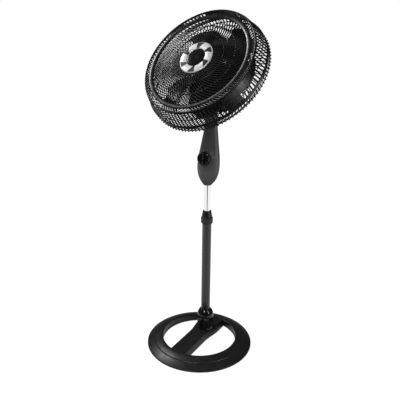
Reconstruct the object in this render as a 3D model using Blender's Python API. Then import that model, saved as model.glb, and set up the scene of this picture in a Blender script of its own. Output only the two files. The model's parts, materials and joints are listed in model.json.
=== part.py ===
"""Pedestal fan: ring base, telescopic column, control neck, and a tilting, swinging turbo head.

Frame: metres, +Z up, origin on the floor at the column's axis, the fan faces -Y.
Run with: blender --background --python part.py
"""

import math

import bmesh
import bpy
from mathutils import Euler, Matrix, Vector

# ---------------------------------------------------------------- driving dimensions (metres)
GAP = 0.0003                    # clearance between pieces that touch

# base
RING_OUTER = 0.2189             # outer radius of the base ring
RING_INNER = 0.1533             # radius of its opening
RING_HEIGHT = 0.0334            # ridge round the opening
RING_EDGE = 0.0060              # height of the outer lip
RING_SIDEWAYS = 0.0080          # ring centre, to the right of the column
RING_FORWARD = 0.0640           # ring centre, in front of the column
BASE_WALL = 0.0030
PAD_HEIGHT = 0.0020             # rubber pads that the base stands on
PAD_RADIUS = 0.0110
BAR_LEFT = 0.0400               # top of the cross bar, left of the column
BAR_RIGHT = 0.0250              # and right of it
BAR_FLARE = 0.0120              # widening of the bar at the column
BAR_DRAFT = 0.0100              # and at the floor
BAR_TOP = RING_HEIGHT - 0.0034
BALLAST_HEIGHT = 0.0120
PLATE_THICKNESS = 0.0020        # cover under the ring
FOOT_THICKNESS = 0.0028         # steel plate under the column
SOCKET_FLOOR = 0.0035
BASE_BOLT = 0.0040              # radius of the bolt under the column
DOME_RADIUS = 0.0360            # foot dome round the column
DOME_TOP = 0.1240

# column
TUBE_RADIUS = 0.0190
TUBE_WALL = 0.0015
TUBE_TOP = 0.5200
COLLAR_RADIUS = 0.0245
COLLAR_BOTTOM = 0.5150
COLLAR_HEIGHT = 0.0260
NUT_HEIGHT = 0.0270             # tapered lock nut above the collar
NUT_THROAT = 0.0163             # bore of the collar above the tube's mouth
MAST_RADIUS = 0.0127            # chromed inner tube
MAST_WALL = 0.0012
MAST_BOTTOM = 0.2300
MAST_TOP = 0.7500

# neck
NECK_BOTTOM = 0.6760
NECK_WALL = 0.0025
KNOB_HEIGHT = 0.7865            # centre of the speed knob above the floor
KNOB_RADIUS = 0.0264
KNOB_GRIP = 0.0090                # width of the bar across the knob
KNOB_DEPTH = 0.0170

FORK_INNER = 0.0130             # gap between the fork's ears, from the middle
FORK_OUTER = 0.0205
EAR_RADIUS = 0.0110
BOLT_RADIUS = 0.0040

# head
PIVOT_BACK = 0.0220             # tilt bolt, behind the column's axis
PIVOT_HEIGHT = 0.9890
TILT = math.radians(38.3)       # upward tilt in the stored pose
SWING = math.radians(-4.0)      # swing in the stored pose
AXIS_RISE = 0.0750              # motor axis above the tilt bolt
RIM_FORWARD = 0.1734            # front rim, along the motor axis from the swing pin
RIM_RADIUS = 0.2238
BAND_INNER = 0.1858             # inner edge of the smooth band
SEAM_FORWARD = 0.1045           # seam between the two grilles
SEAM_RADIUS = 0.2425
REAR_RING_FORWARD = 0.0860      # rear ring, where the open wall behind the seam ends
GRILLE_WIRE = 0.0026            # thickness of a grille's ribs
RIB_WIDTH = 0.0040
FRONT_RIBS = 22
REAR_RIBS = 22
CLIP_COUNT = 3
CLIP_START = math.radians(18.0)
CLIP_WIDTH = 0.0220
CLIP_THICKNESS = 0.0027
PLATE_FORWARD = 0.0590          # rear grille's mounting plate
BADGE_RADIUS = 0.0660
BADGE_DISC = 0.0365
BADGE_HEIGHT = 0.0052
HUB_RISE = 0.0070               # the grille's hub, in front of its rim
BLADE_COUNT = 6
BLADE_RADIUS = 0.2030
BLADE_HUB = 0.0400
HUB_BACK = 0.0780               # back of the blade's hub along the motor axis
HUB_LENGTH = 0.0440
BLADE_TURN = math.radians(29.0)  # how far the first blade is turned from the head's X axis
BLADE_SPAN = math.radians(50.0)  # angle that one blade covers in front view
BLADE_SWEEP = math.radians(26.0)
BLADE_RISE = 0.0360             # height of the blade's leading edge above its trailing edge
BLADE_THICKNESS = 0.0018
MOTOR_RADIUS = 0.0470
STATOR_BACK = 0.0200
STATOR_LENGTH = 0.0200
ROTOR_RADIUS = 0.0222
SHAFT_RADIUS = 0.0040
SHAFT_STEP = 0.0010             # the shaft is this much thinner under the worm
BUSH_WALL = 0.0032
BELL_WALL = 0.0025
COVER_RADIUS = 0.0620
COVER_LENGTH = 0.1600
COVER_WALL = 0.0022
COVER_DOME = 0.0320             # depth of the rounded back
PIN_RADIUS = 0.0055

# oscillating gear
WORM_RADIUS = 0.0045
WHEEL_RADIUS = 0.0120
WHEEL_RIGHT = 0.0168            # axis of the worm wheel, right of the motor axis
WHEEL_BACK = 0.0340             # and behind the swing pin
PINION_RADIUS = 0.0052
CRANK_RADIUS = 0.0145
CRANK_LEFT = 0.0010
CRANK_BACK = 0.0447
CRANK_THROW = 0.0080
MESH_ANGLE = math.atan2(WHEEL_BACK - CRANK_BACK, WHEEL_RIGHT + CRANK_LEFT)
ARM_RIGHT = 0.0130              # bracket's link pin
ARM_BACK = 0.0050
SEAT_TOP = 0.0150               # top of the bracket's seat above the tilt bolt
LINK_LOW = SEAT_TOP + GAP       # the link lies on the bracket's arm
LINK_THICK = 0.0024
LINK_EYE = 0.0036               # radius of the link's ends
BOSS_LOW = LINK_LOW + LINK_THICK + 0.0005  # the head's boss passes over the link
CASE_LOW = 0.0255               # underside of the gear case
CASE_RISE = 0.0200              # its top above the motor axis
CASE_LEFT = -0.0270
CASE_RIGHT = 0.0320
CASE_FRONT = 0.0120
CASE_BACK = 0.0660
CASE_WALL = 0.0025


# ---------------------------------------------------------------- materials
def principled(name, colour, roughness, metallic=0.0):
    """One Principled material."""
    material = bpy.data.materials.new(name)
    material.use_nodes = True
    shader = material.node_tree.nodes["Principled BSDF"]
    shader.inputs["Base Color"].default_value = (*colour, 1.0)
    shader.inputs["Roughness"].default_value = roughness
    shader.inputs["Metallic"].default_value = metallic
    return material


def black_plastic(name):
    """Satin black ABS."""
    return principled(name, (0.012, 0.012, 0.013), 0.38)


def grey_plastic(name):
    """Dark grey textured ABS of the neck."""
    return principled(name, (0.085, 0.085, 0.088), 0.55)


def gloss_black(name):
    """Glossy black plastic."""
    return principled(name, (0.008, 0.008, 0.009), 0.18)


def nylon(name):
    """Natural nylon of the small gears."""
    return principled(name, (0.72, 0.70, 0.64), 0.5)


def steel(name):
    """Bright zinc-plated steel."""
    return principled(name, (0.62, 0.62, 0.64), 0.32, 1.0)


def chrome(name):
    """Polished chrome."""
    return principled(name, (0.80, 0.80, 0.82), 0.08, 1.0)


def coated_steel(name):
    """Black powder-coated steel."""
    return principled(name, (0.012, 0.012, 0.013), 0.30, 0.0)


def aluminium(name):
    """Die-cast aluminium."""
    return principled(name, (0.52, 0.53, 0.54), 0.45, 1.0)


def cast_iron(name):
    """Painted iron casting."""
    return principled(name, (0.10, 0.10, 0.10), 0.8)


def copper(name):
    """Enamelled copper wire."""
    return principled(name, (0.60, 0.26, 0.11), 0.40, 1.0)


def bronze(name):
    """Sintered bronze."""
    return principled(name, (0.62, 0.45, 0.20), 0.45, 1.0)


def rubber(name):
    """Black rubber."""
    return principled(name, (0.020, 0.020, 0.020), 0.85)


def silver_paint(name):
    """Silver-painted plastic."""
    return principled(name, (0.70, 0.70, 0.72), 0.35, 0.6)


# ---------------------------------------------------------------- modelling helpers
def clear_scene():
    """Removes whatever the file held."""
    for item in list(bpy.data.objects):
        bpy.data.objects.remove(item, do_unlink=True)


def frame_at(name, parent, location, rotation=(0.0, 0.0, 0.0)):
    """An empty on a joint's axis, which its pieces are parented to."""
    empty = bpy.data.objects.new(name, None)
    bpy.context.scene.collection.objects.link(empty)
    empty.parent = parent
    empty.location = location
    empty.rotation_euler = Euler(rotation)
    return empty


def finish(name, mesh_data, material, parent, smooth_angle=35.0):
    """Turns a bmesh into a named object with outward faces."""
    bmesh.ops.recalc_face_normals(mesh_data, faces=mesh_data.faces)
    mesh = bpy.data.meshes.new(name)
    mesh_data.to_mesh(mesh)
    mesh_data.free()
    mesh.shade_smooth()
    mesh.set_sharp_from_angle(angle=math.radians(smooth_angle))
    thing = bpy.data.objects.new(name, mesh)
    thing.data.materials.append(material)
    thing.parent = parent
    bpy.context.scene.collection.objects.link(thing)
    return thing


def add_revolved(mesh_data, outline, sides, centre=(0.0, 0.0), start=0.0, tool=None):
    """Revolves a closed outline of (radius, height) points about a line parallel to Z."""
    rings = []
    for radius, height in outline:
        if radius < 1e-7:
            rings.append([mesh_data.verts.new((centre[0], centre[1], height))] * sides)
            continue
        ring = []
        for side in range(sides):
            angle = start + math.tau * side / sides
            x = centre[0] + radius * math.cos(angle)
            y = centre[1] + radius * math.sin(angle)
            ring.append(mesh_data.verts.new((x, y, height)))
        rings.append(ring)
    for index, ring in enumerate(rings):
        after = rings[(index + 1) % len(rings)]
        for side in range(sides):
            turn = (side + 1) % sides
            corners = []
            for vertex in (ring[side], ring[turn], after[turn], after[side]):
                if vertex not in corners:
                    corners.append(vertex)
            if len(corners) > 2:
                mesh_data.faces.new(corners)


def revolved(name, outline, material, parent, sides=24, centre=(0.0, 0.0), smooth_angle=35.0):
    """A turned piece about its frame's Z."""
    mesh_data = bmesh.new()
    add_revolved(mesh_data, outline, sides, centre)
    return finish(name, mesh_data, material, parent, smooth_angle)


def rod_outline(radius, low, high, edge=0.0):
    """Outline of a solid rod with small chamfers."""
    if edge <= 0.0:
        return [(0.0, high), (radius, high), (radius, low), (0.0, low)]
    return [(0.0, high), (radius - edge, high), (radius, high - edge),
            (radius, low + edge), (radius - edge, low), (0.0, low)]


def tube_outline(outer, inner, low, high):
    """Outline of a plain tube."""
    return [(outer, high), (outer, low), (inner, low), (inner, high)]


def add_box(mesh_data, low, high):
    """A box between two corners."""
    corners = []
    for z in (low[2], high[2]):
        for x, y in ((low[0], low[1]), (high[0], low[1]), (high[0], high[1]), (low[0], high[1])):
            corners.append(mesh_data.verts.new((x, y, z)))
    for face in ((3, 2, 1, 0), (4, 5, 6, 7), (0, 1, 5, 4), (1, 2, 6, 5), (2, 3, 7, 6), (3, 0, 4, 7)):
        mesh_data.faces.new([corners[index] for index in face])


def box(name, low, high, material, parent, bevel=0.0):
    """A box-shaped piece with rounded edges."""
    mesh_data = bmesh.new()
    add_box(mesh_data, low, high)
    if bevel > 0.0:
        bmesh.ops.bevel(mesh_data, geom=list(mesh_data.edges), offset=bevel, segments=2, affect="EDGES")
    return finish(name, mesh_data, material, parent)


def add_prism(mesh_data, outline, low, high):
    """A prism on a closed outline of (x, y) points."""
    bottom = [mesh_data.verts.new((x, y, low)) for x, y in outline]
    top = [mesh_data.verts.new((x, y, high)) for x, y in outline]
    mesh_data.faces.new(list(reversed(bottom)))
    mesh_data.faces.new(top)
    count = len(outline)
    for index in range(count):
        after = (index + 1) % count
        mesh_data.faces.new((bottom[index], bottom[after], top[after], top[index]))


def turn_mesh(thing, matrix):
    """Moves an object's own mesh, so that its origin stays on its frame."""
    thing.data.transform(matrix)
    return thing


def combine(target, tool, operation):
    """Boolean with the exact solver. The tool is a guide and not a piece."""
    tool.hide_render = True
    tool.display_type = "WIRE"
    modifier = target.modifiers.new(operation.lower() + "_" + tool.name, "BOOLEAN")
    modifier.operation = operation
    modifier.solver = "EXACT"
    modifier.object = tool


def cut(target, tool):
    """Takes the tool's shape out of the target."""
    combine(target, tool, "DIFFERENCE")


def merge(target, tool):
    """Adds the tool's shape to the target."""
    combine(target, tool, "UNION")


def add_lattice(mesh_data, profile, ribs, width, thickness, twist):
    """A grille: ribs that run along a profile, tied by solid rings.

    profile holds (radius, forward, kind) points. The strip from a point to the next one is
    a solid ring where kind is "ring", and only ribs where it is "rib". twist(radius, forward)
    turns each point about the axis, which curves the ribs.
    """
    points = [Vector((radius, forward)) for radius, forward, _ in profile]
    normals = []
    for index in range(len(points)):
        ahead = points[min(index + 1, len(points) - 1)] - points[max(index - 1, 0)]
        normals.append(Vector((-ahead.y, ahead.x)).normalized())
    columns = 2 * ribs
    layers = []
    for offset in (0.5 * thickness, -0.5 * thickness):
        layer = []
        for point, normal in zip(points, normals):
            place = point + normal * offset
            half = 0.5 * width / place.x
            row = []
            for column in range(columns):
                middle = math.tau * (column // 2) / ribs
                angle = middle + (half if column % 2 else -half) + twist(point.x, point.y)
                x = place.x * math.cos(angle)
                y = place.x * math.sin(angle)
                row.append(mesh_data.verts.new((x, y, place.y)))
            layer.append(row)
        layers.append(layer)
    rows = len(points) - 1

    def is_solid(row, column):
        if row < 0 or row >= rows:
            return False
        return profile[row][2] == "ring" or column % 2 == 0

    for row in range(rows):
        for column in range(columns):
            if not is_solid(row, column):
                continue
            after = (column + 1) % columns
            before = (column - 1) % columns
            for layer in layers:
                corners = (layer[row][column], layer[row][after],
                           layer[row + 1][after], layer[row + 1][column])
                mesh_data.faces.new(corners)
            outer, inner = layers
            if not is_solid(row, after):
                mesh_data.faces.new((outer[row][after], outer[row + 1][after],
                                     inner[row + 1][after], inner[row][after]))
            if not is_solid(row, before):
                mesh_data.faces.new((outer[row][column], outer[row + 1][column],
                                     inner[row + 1][column], inner[row][column]))
            if not is_solid(row - 1, column):
                mesh_data.faces.new((outer[row][column], outer[row][after],
                                     inner[row][after], inner[row][column]))
            if not is_solid(row + 1, column):
                mesh_data.faces.new((outer[row + 1][column], outer[row + 1][after],
                                     inner[row + 1][after], inner[row + 1][column]))


# ---------------------------------------------------------------- base
def smooth_step(value):
    """0 below 0, 1 above 1, smooth between."""
    value = max(0.0, min(1.0, value))
    return value * value * (3.0 - 2.0 * value)


def bar_half(side, y, spread):
    """Half width of the cross bar on one side: it widens round the column."""
    flare = BAR_FLARE * smooth_step((y + 0.060) / 0.100)
    return (BAR_LEFT if side < 0 else BAR_RIGHT) + flare + spread


def bar_outline(spread, ring_radius):
    """Plan of the cross bar, with ends that follow the ring's inner wall."""
    steps = 8
    outline = []
    for side in (-1, 1):
        edge = []
        for step in range(steps + 1):
            share = step / steps
            y = 0.0
            for _ in range(12):
                x = side * bar_half(side, y, spread)
                reach = math.sqrt(ring_radius ** 2 - (x - RING_SIDEWAYS) ** 2)
                y = -RING_FORWARD + reach * (2.0 * share - 1.0)
            edge.append((side * bar_half(side, y, spread), y))
        if side < 0:
            edge.reverse()
        outline.append(edge)
    left, right = outline
    front = arc_between(left[-1], right[0], ring_radius, 5)
    back = arc_between(right[-1], left[0], ring_radius, 5)
    return left + front + right + back


def arc_between(start, end, radius, steps):
    """Points inside an arc of the ring between two points of it, ends left out."""
    first = math.atan2(start[1] + RING_FORWARD, start[0] - RING_SIDEWAYS)
    last = math.atan2(end[1] + RING_FORWARD, end[0] - RING_SIDEWAYS)
    while last < first:
        last += math.tau
    points = []
    for step in range(1, steps):
        angle = first + (last - first) * step / steps
        points.append((RING_SIDEWAYS + radius * math.cos(angle), -RING_FORWARD + radius * math.sin(angle)))
    return points


def add_loft(mesh_data, lower, low, upper, high):
    """A solid between two closed outlines with the same number of points."""
    bottom = [mesh_data.verts.new((x, y, low)) for x, y in lower]
    top = [mesh_data.verts.new((x, y, high)) for x, y in upper]
    mesh_data.faces.new(list(reversed(bottom)))
    mesh_data.faces.new(top)
    count = len(lower)
    for index in range(count):
        after = (index + 1) % count
        mesh_data.faces.new((bottom[index], bottom[after], top[after], top[index]))


def base_shell(root):
    """Ring and cross bar, moulded in one piece and hollow underneath."""
    centre = (RING_SIDEWAYS, -RING_FORWARD)
    low = PAD_HEIGHT
    slope = RING_OUTER - RING_INNER
    outline = [
        (RING_INNER + 0.0040, RING_HEIGHT),
        (RING_INNER + 0.22 * slope, RING_HEIGHT - 0.0018),
        (RING_INNER + 0.50 * slope, RING_HEIGHT - 0.0085),
        (RING_INNER + 0.78 * slope, RING_HEIGHT - 0.0180),
        (RING_OUTER - 0.0010, RING_EDGE + 0.0012),
        (RING_OUTER, RING_EDGE),
        (RING_OUTER, low),
        (RING_OUTER - BASE_WALL, low),
        (RING_OUTER - BASE_WALL, RING_EDGE - 0.0010),
        (RING_INNER + 0.50 * slope, RING_HEIGHT - 0.0085 - 1.25 * BASE_WALL),
        (RING_INNER + 0.22 * slope, RING_HEIGHT - 0.0018 - 1.15 * BASE_WALL),
        (RING_INNER + BASE_WALL, RING_HEIGHT - BASE_WALL),
        (RING_INNER + BASE_WALL, low),
        (RING_INNER, low),
        (RING_INNER, RING_HEIGHT - 0.0025),
        (RING_INNER + 0.0012, RING_HEIGHT - 0.0006),
    ]
    shell = revolved("base_shell", outline, black_plastic("base_plastic"), root, 40, centre, 30.0)
    mesh_data = bmesh.new()
    buried = RING_INNER + 0.5 * BASE_WALL
    add_loft(mesh_data, bar_outline(BAR_DRAFT, buried), low, bar_outline(0.0, buried), BAR_TOP)
    bar = finish("bar_guide", mesh_data, shell.data.materials[0], root)
    merge(shell, bar)
    mesh_data = bmesh.new()
    inside = RING_INNER - BASE_WALL
    add_loft(mesh_data, bar_outline(BAR_DRAFT - BASE_WALL, inside), low - BAR_DRAFT,
             bar_outline(-BASE_WALL, inside), BAR_TOP - BASE_WALL)
    hollow = finish("hollow_guide", mesh_data, shell.data.materials[0], root)
    cut(shell, hollow)
    through = rod_outline(TUBE_RADIUS + GAP, 0.0, 2.0 * RING_HEIGHT)
    bore = revolved("base_bore_guide", through, shell.data.materials[0], root, 20)
    cut(shell, bore)


def ballast_ring(root):
    """Cast weight inside the ring."""
    low = PAD_HEIGHT + GAP + PLATE_THICKNESS + 2.0 * GAP
    inner = RING_INNER + BASE_WALL + 0.0010
    outer = RING_OUTER - 0.0180
    outline = [(outer - 0.0160, low + BALLAST_HEIGHT), (outer, low + 0.0040), (outer, low),
               (inner, low), (inner, low + BALLAST_HEIGHT)]
    centre = (RING_SIDEWAYS, -RING_FORWARD)
    revolved("ballast_ring", outline, cast_iron("ballast_iron"), root, 40, centre)


def ring_plate(root):
    """Flat cover under the ring."""
    outline = tube_outline(RING_OUTER - BASE_WALL - GAP, RING_INNER + BASE_WALL + GAP,
                           PAD_HEIGHT + GAP, PAD_HEIGHT + GAP + PLATE_THICKNESS)
    revolved("ring_plate", outline, black_plastic("plate_plastic"), root, 40,
             (RING_SIDEWAYS, -RING_FORWARD))


def foot_plate(root):
    """Steel plate in the bar that the column is bolted to."""
    low = PAD_HEIGHT + GAP
    high = low + FOOT_THICKNESS
    left = BASE_WALL + 0.0040 - BAR_LEFT
    right = BAR_RIGHT - BASE_WALL - 0.0010
    plate = box("foot_plate", (left, -0.0700, low), (right, 0.0500, high), steel("foot_plate_steel"), root)
    through = rod_outline(BASE_BOLT + GAP, low - BASE_BOLT, high + BASE_BOLT)
    hole = revolved("plate_hole_guide", through, plate.data.materials[0], root, 12)
    cut(plate, hole)


def base_pads(root):
    """Rubber pads: one under the column and four under the ring."""
    middle = 0.5 * (RING_OUTER + RING_INNER)
    places = [(0.0, 0.0)]
    for index in range(4):
        angle = math.tau * (index + 0.5) / 4
        places.append((RING_SIDEWAYS + middle * math.cos(angle), -RING_FORWARD + middle * math.sin(angle)))
    outline = rod_outline(PAD_RADIUS, 0.0, PAD_HEIGHT)
    for index, place in enumerate(places):
        name = "base_pad_" + str(index)
        revolved(name, outline, rubber(name + "_rubber"), root, 12, place)


def column_socket(root):
    """Turned flange and spigot that the outer tube stands on."""
    low = PAD_HEIGHT + FOOT_THICKNESS + 2.0 * GAP
    spigot = TUBE_RADIUS - TUBE_WALL - GAP
    inside = spigot - 0.0052
    floor = low + SOCKET_FLOOR
    top = floor + 0.0511
    outline = [(spigot, top), (spigot, floor), (TUBE_RADIUS, floor), (TUBE_RADIUS, low),
               (BASE_BOLT + GAP, low),
               (BASE_BOLT + GAP, floor), (inside, floor), (inside, top)]
    revolved("column_socket", outline, aluminium("socket_cast"), root, 20)


def base_bolt(root):
    """Bolt that holds the column's socket to the foot plate."""
    low = PAD_HEIGHT + 2.0 * GAP
    seat = PAD_HEIGHT + FOOT_THICKNESS + 2.0 * GAP + SOCKET_FLOOR + GAP
    head = BASE_BOLT + 0.0030
    outline = [(0.0, seat + 0.0050), (head, seat + 0.0050), (head, seat), (BASE_BOLT, seat),
               (BASE_BOLT, low),
               (0.0, low)]
    revolved("base_bolt", outline, steel("base_bolt_steel"), root, 18)


def foot_dome(root):
    """Moulded dome that hides the foot of the column."""
    bore = TUBE_RADIUS + GAP
    low = BAR_TOP + GAP
    outline = [
        (bore, DOME_TOP), (bore + 0.0030, DOME_TOP - 0.0015), (0.83 * DOME_RADIUS, DOME_TOP - 0.0110),
        (0.97 * DOME_RADIUS, DOME_TOP - 0.0240), (DOME_RADIUS, DOME_TOP - 0.0390),
        (0.97 * DOME_RADIUS, DOME_TOP - 0.0580), (0.90 * DOME_RADIUS, low + 0.0110),
        (0.86 * DOME_RADIUS, low + 0.0070), (0.89 * DOME_RADIUS, low + 0.0050),
        (0.89 * DOME_RADIUS, low), (0.89 * DOME_RADIUS - 0.0025, low),
        (0.89 * DOME_RADIUS - 0.0025, low + 0.0060), (DOME_RADIUS - 0.0045, DOME_TOP - 0.0560),
        (DOME_RADIUS - 0.0025, DOME_TOP - 0.0390), (0.97 * DOME_RADIUS - 0.0030, DOME_TOP - 0.0260),
        (bore, DOME_TOP - 0.0090),
    ]
    revolved("foot_dome", outline, gloss_black("dome_plastic"), root, 24)


# ---------------------------------------------------------------- column
def outer_tube(root):
    """Black steel tube."""
    low = PAD_HEIGHT + FOOT_THICKNESS + 2.0 * GAP + SOCKET_FLOOR + GAP
    outline = tube_outline(TUBE_RADIUS, TUBE_RADIUS - TUBE_WALL, low, TUBE_TOP)
    revolved("outer_tube", outline, coated_steel("tube_paint"), root, 24)


def collet(root):
    """Split sleeve in the tube's mouth with the cone that grips the inner tube."""
    low = TUBE_TOP - 0.0350
    sleeve = TUBE_RADIUS - TUBE_WALL - 2.0 * GAP
    bore = MAST_RADIUS + GAP
    cone = COLLAR_BOTTOM + COLLAR_HEIGHT + GAP
    top = cone + NUT_HEIGHT
    throat = NUT_THROAT - GAP
    mouth = MAST_RADIUS + 0.0045
    wide = COLLAR_RADIUS - 0.0027
    outline = [
        (bore, top), (mouth - 0.0006, top), (mouth, top - 0.0010), (wide - 0.0003, cone + 0.0030),
        (wide, cone),
        (throat, cone), (throat, TUBE_TOP), (sleeve, TUBE_TOP - GAP), (sleeve, low), (bore, low),
    ]
    revolved("collet", outline, black_plastic("collet_plastic"), root, 24)


def height_nut(frame):
    """Lobed nut that closes the collet."""
    lobes = 12
    steps = lobes * 4
    outline = []
    for step in range(steps):
        angle = math.tau * step / steps
        radius = COLLAR_RADIUS - 0.0006 * (1.0 - math.cos(lobes * angle))
        outline.append((radius * math.cos(angle), radius * math.sin(angle)))
    mesh_data = bmesh.new()
    add_prism(mesh_data, outline, 0.0, COLLAR_HEIGHT)
    nut = finish("height_nut", mesh_data, black_plastic("nut_plastic"), frame)
    step_height = TUBE_TOP + GAP - COLLAR_BOTTOM
    over = COLLAR_HEIGHT + 0.01
    tool_outline = [(0.0, over), (NUT_THROAT, over), (NUT_THROAT, step_height),
                    (TUBE_RADIUS + GAP, step_height), (TUBE_RADIUS + GAP, -0.01), (0.0, -0.01)]
    cut(nut, revolved("nut_bore_guide", tool_outline, nut.data.materials[0], frame, 24))


def mast(frame):
    """Chromed inner tube."""
    outline = tube_outline(MAST_RADIUS, MAST_RADIUS - MAST_WALL, MAST_BOTTOM, MAST_TOP)
    revolved("mast", in_frame(outline), chrome("mast_chrome"), frame, 24)


def mast_guide(frame):
    """Nylon foot of the inner tube, which slides in the outer one."""
    wide = TUBE_RADIUS - TUBE_WALL - GAP
    spigot = MAST_RADIUS - MAST_WALL - GAP
    outline = [(spigot, MAST_BOTTOM + 0.0150), (spigot, MAST_BOTTOM - GAP), (wide, MAST_BOTTOM - GAP),
               (wide, MAST_BOTTOM - 0.0120), (0.0080, MAST_BOTTOM - 0.0120), (0.0080, MAST_BOTTOM + 0.0150)]
    revolved("mast_guide", in_frame(outline), nylon("guide_nylon"), frame, 20)


def in_frame(outline):
    """Heights above the floor, seen from the neck's frame."""
    return [(radius, height - NECK_BOTTOM) for radius, height in outline]


# ---------------------------------------------------------------- neck
# sections of the neck: height above the floor, centre behind the column, half width, half depth
NECK_SECTIONS = (
    (0.6760, 0.0000, 0.0162, 0.0162),
    (0.6847, 0.0000, 0.0235, 0.0190),
    (0.6929, 0.0005, 0.0310, 0.0222),
    (0.7011, 0.0010, 0.0360, 0.0245),
    (0.7134, 0.0015, 0.0415, 0.0270),
    (0.7337, 0.0030, 0.0465, 0.0292),
    (0.7539, 0.0050, 0.0478, 0.0298),
    (0.7740, 0.0075, 0.0465, 0.0290),
    (0.7939, 0.0099, 0.0445, 0.0280),
    (0.8150, 0.0120, 0.0410, 0.0262),
    (0.8540, 0.0160, 0.0350, 0.0225),
    (0.8940, 0.0200, 0.0290, 0.0190),
    (0.9300, 0.0215, 0.0262, 0.0182),
    (0.9550, 0.0220, 0.0255, 0.0180),
)
NECK_SEAM = math.radians(12.0)  # the seam runs this far behind the widest line


def neck_section(height):
    """Centre, half width and half depth of the neck at a height."""
    for lower, upper in zip(NECK_SECTIONS, NECK_SECTIONS[1:]):
        if height <= upper[0]:
            share = (height - lower[0]) / (upper[0] - lower[0])
            return [low + (high - low) * share for low, high in zip(lower[1:], upper[1:])]
    return list(NECK_SECTIONS[-1][1:])


def add_patch(mesh_data, heights, spans, outward, inward, steps):
    """A curved plate that follows the neck between two offsets and two angles."""
    layers = []
    for offset in (outward, inward):
        layer = []
        for height, (first, last) in zip(heights, spans):
            centre, wide, deep = neck_section(height)
            row = []
            for step in range(steps + 1):
                angle = first + (last - first) * step / steps
                x = (wide + offset) * math.cos(angle)
                y = centre + (deep + offset) * math.sin(angle)
                row.append(mesh_data.verts.new((x, y, height - NECK_BOTTOM)))
            layer.append(row)
        layers.append(layer)
    outer, inner = layers
    rows = len(heights) - 1
    for row in range(rows):
        for step in range(steps):
            for layer in layers:
                mesh_data.faces.new((layer[row][step], layer[row][step + 1],
                                     layer[row + 1][step + 1], layer[row + 1][step]))
        for step in (0, steps):
            mesh_data.faces.new((outer[row][step], outer[row + 1][step],
                                 inner[row + 1][step], inner[row][step]))
    for row in (0, rows):
        for step in range(steps):
            mesh_data.faces.new((outer[row][step], outer[row][step + 1],
                                 inner[row][step + 1], inner[row][step]))


def neck_shell(name, first, last, frame):
    """Half of the neck's moulded shell."""
    heights = [section[0] for section in NECK_SECTIONS]
    spans = [(first, last)] * len(heights)
    mesh_data = bmesh.new()
    add_patch(mesh_data, heights, spans, 0.0, -NECK_WALL, 12)
    finish(name, mesh_data, grey_plastic(name + "_plastic"), frame, 40.0)


def control_panel(frame):
    """Raised front panel, pointed at the bottom."""
    heights = (0.7370, 0.7440, 0.7560, 0.7740, 0.7939, 0.8150, 0.8540, 0.8940, 0.9300, 0.9530)
    halves = (6.0, 19.0, 32.0, 42.0, 46.0, 46.0, 40.0, 34.0, 32.0, 31.0)
    front = math.radians(270.0)
    spans = [(front - math.radians(half), front + math.radians(half)) for half in halves]
    mesh_data = bmesh.new()
    add_patch(mesh_data, heights, spans, 0.0018, 2.0 * GAP, 8)
    finish("control_panel", mesh_data, grey_plastic("panel_plastic"), frame, 40.0)


def neck_core(frame):
    """Socket for the inner tube, the column above it and the fork for the head."""
    low = MAST_TOP - 0.0500 - NECK_BOTTOM
    blind = MAST_TOP + GAP - NECK_BOTTOM
    roof = blind + 0.0070
    bore = MAST_RADIUS + GAP
    outer = MAST_RADIUS + 0.0045
    socket = [(0.0, roof), (outer, roof), (outer, low), (bore, low), (bore, blind), (0.0, blind)]
    core = revolved("neck_core", socket, black_plastic("core_plastic"), frame, 20)
    top = PIVOT_HEIGHT - NECK_BOTTOM
    mesh_data = bmesh.new()
    add_box(mesh_data, (-FORK_INNER, PIVOT_BACK - 0.0120, blind + 0.0020),
            (FORK_INNER, PIVOT_BACK + 0.0080, top - EAR_RADIUS - 0.0180))
    merge(core, finish("post_guide", mesh_data, core.data.materials[0], frame))
    mesh_data = bmesh.new()
    add_box(mesh_data, (-FORK_OUTER + 0.0006, PIVOT_BACK - 0.0120, top - EAR_RADIUS - 0.0220),
            (FORK_OUTER - 0.0006, PIVOT_BACK + 0.0120, top - EAR_RADIUS - 0.0090))
    merge(core, finish("web_guide", mesh_data, core.data.materials[0], frame))
    for side, name in ((-1, "left_ear_guide"), (1, "right_ear_guide")):
        mesh_data = bmesh.new()
        outline = []
        for step in range(13):
            angle = math.pi * step / 12
            outline.append((EAR_RADIUS * math.cos(angle), EAR_RADIUS * math.sin(angle)))
        foot = -EAR_RADIUS - 0.0150
        outline += [(-EAR_RADIUS, foot), (EAR_RADIUS, foot)]
        inner = min(side * FORK_INNER, side * FORK_OUTER)
        add_prism(mesh_data, outline, 0.0, FORK_OUTER - FORK_INNER)
        ear = finish(name, mesh_data, core.data.materials[0], frame)
        upright = Matrix.Rotation(math.pi / 2, 4, "Z") @ Matrix.Rotation(math.pi / 2, 4, "X")
        merge(core, turn_mesh(ear, Matrix.Translation((inner, PIVOT_BACK, top)) @ upright))
    bolt_hole = revolved("bolt_hole_guide", rod_outline(BOLT_RADIUS + GAP, -0.04, 0.04),
                         core.data.materials[0], frame, 12)
    lay = Matrix.Translation((0.0, PIVOT_BACK, top)) @ Matrix.Rotation(math.pi / 2, 4, "Y")
    cut(core, turn_mesh(bolt_hole, lay))


def tilt_bolt(frame):
    """Bolt through the fork, with its head on the right."""
    head = BOLT_RADIUS + 0.0035
    top = FORK_OUTER + 0.0052
    end = -FORK_OUTER - 0.0075
    outline = [(0.0, top), (head - 0.0007, top), (head, top - 0.0010), (head, FORK_OUTER + GAP),
               (BOLT_RADIUS, FORK_OUTER + GAP), (BOLT_RADIUS, end), (0.0, end)]
    bolt = revolved("tilt_bolt", outline, steel("bolt_steel"), frame, 12)
    lay = Matrix.Translation((0.0, PIVOT_BACK, PIVOT_HEIGHT - NECK_BOTTOM)) @ Matrix.Rotation(math.pi / 2,
                                                                                              4, "Y")
    turn_mesh(bolt, lay)


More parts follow.
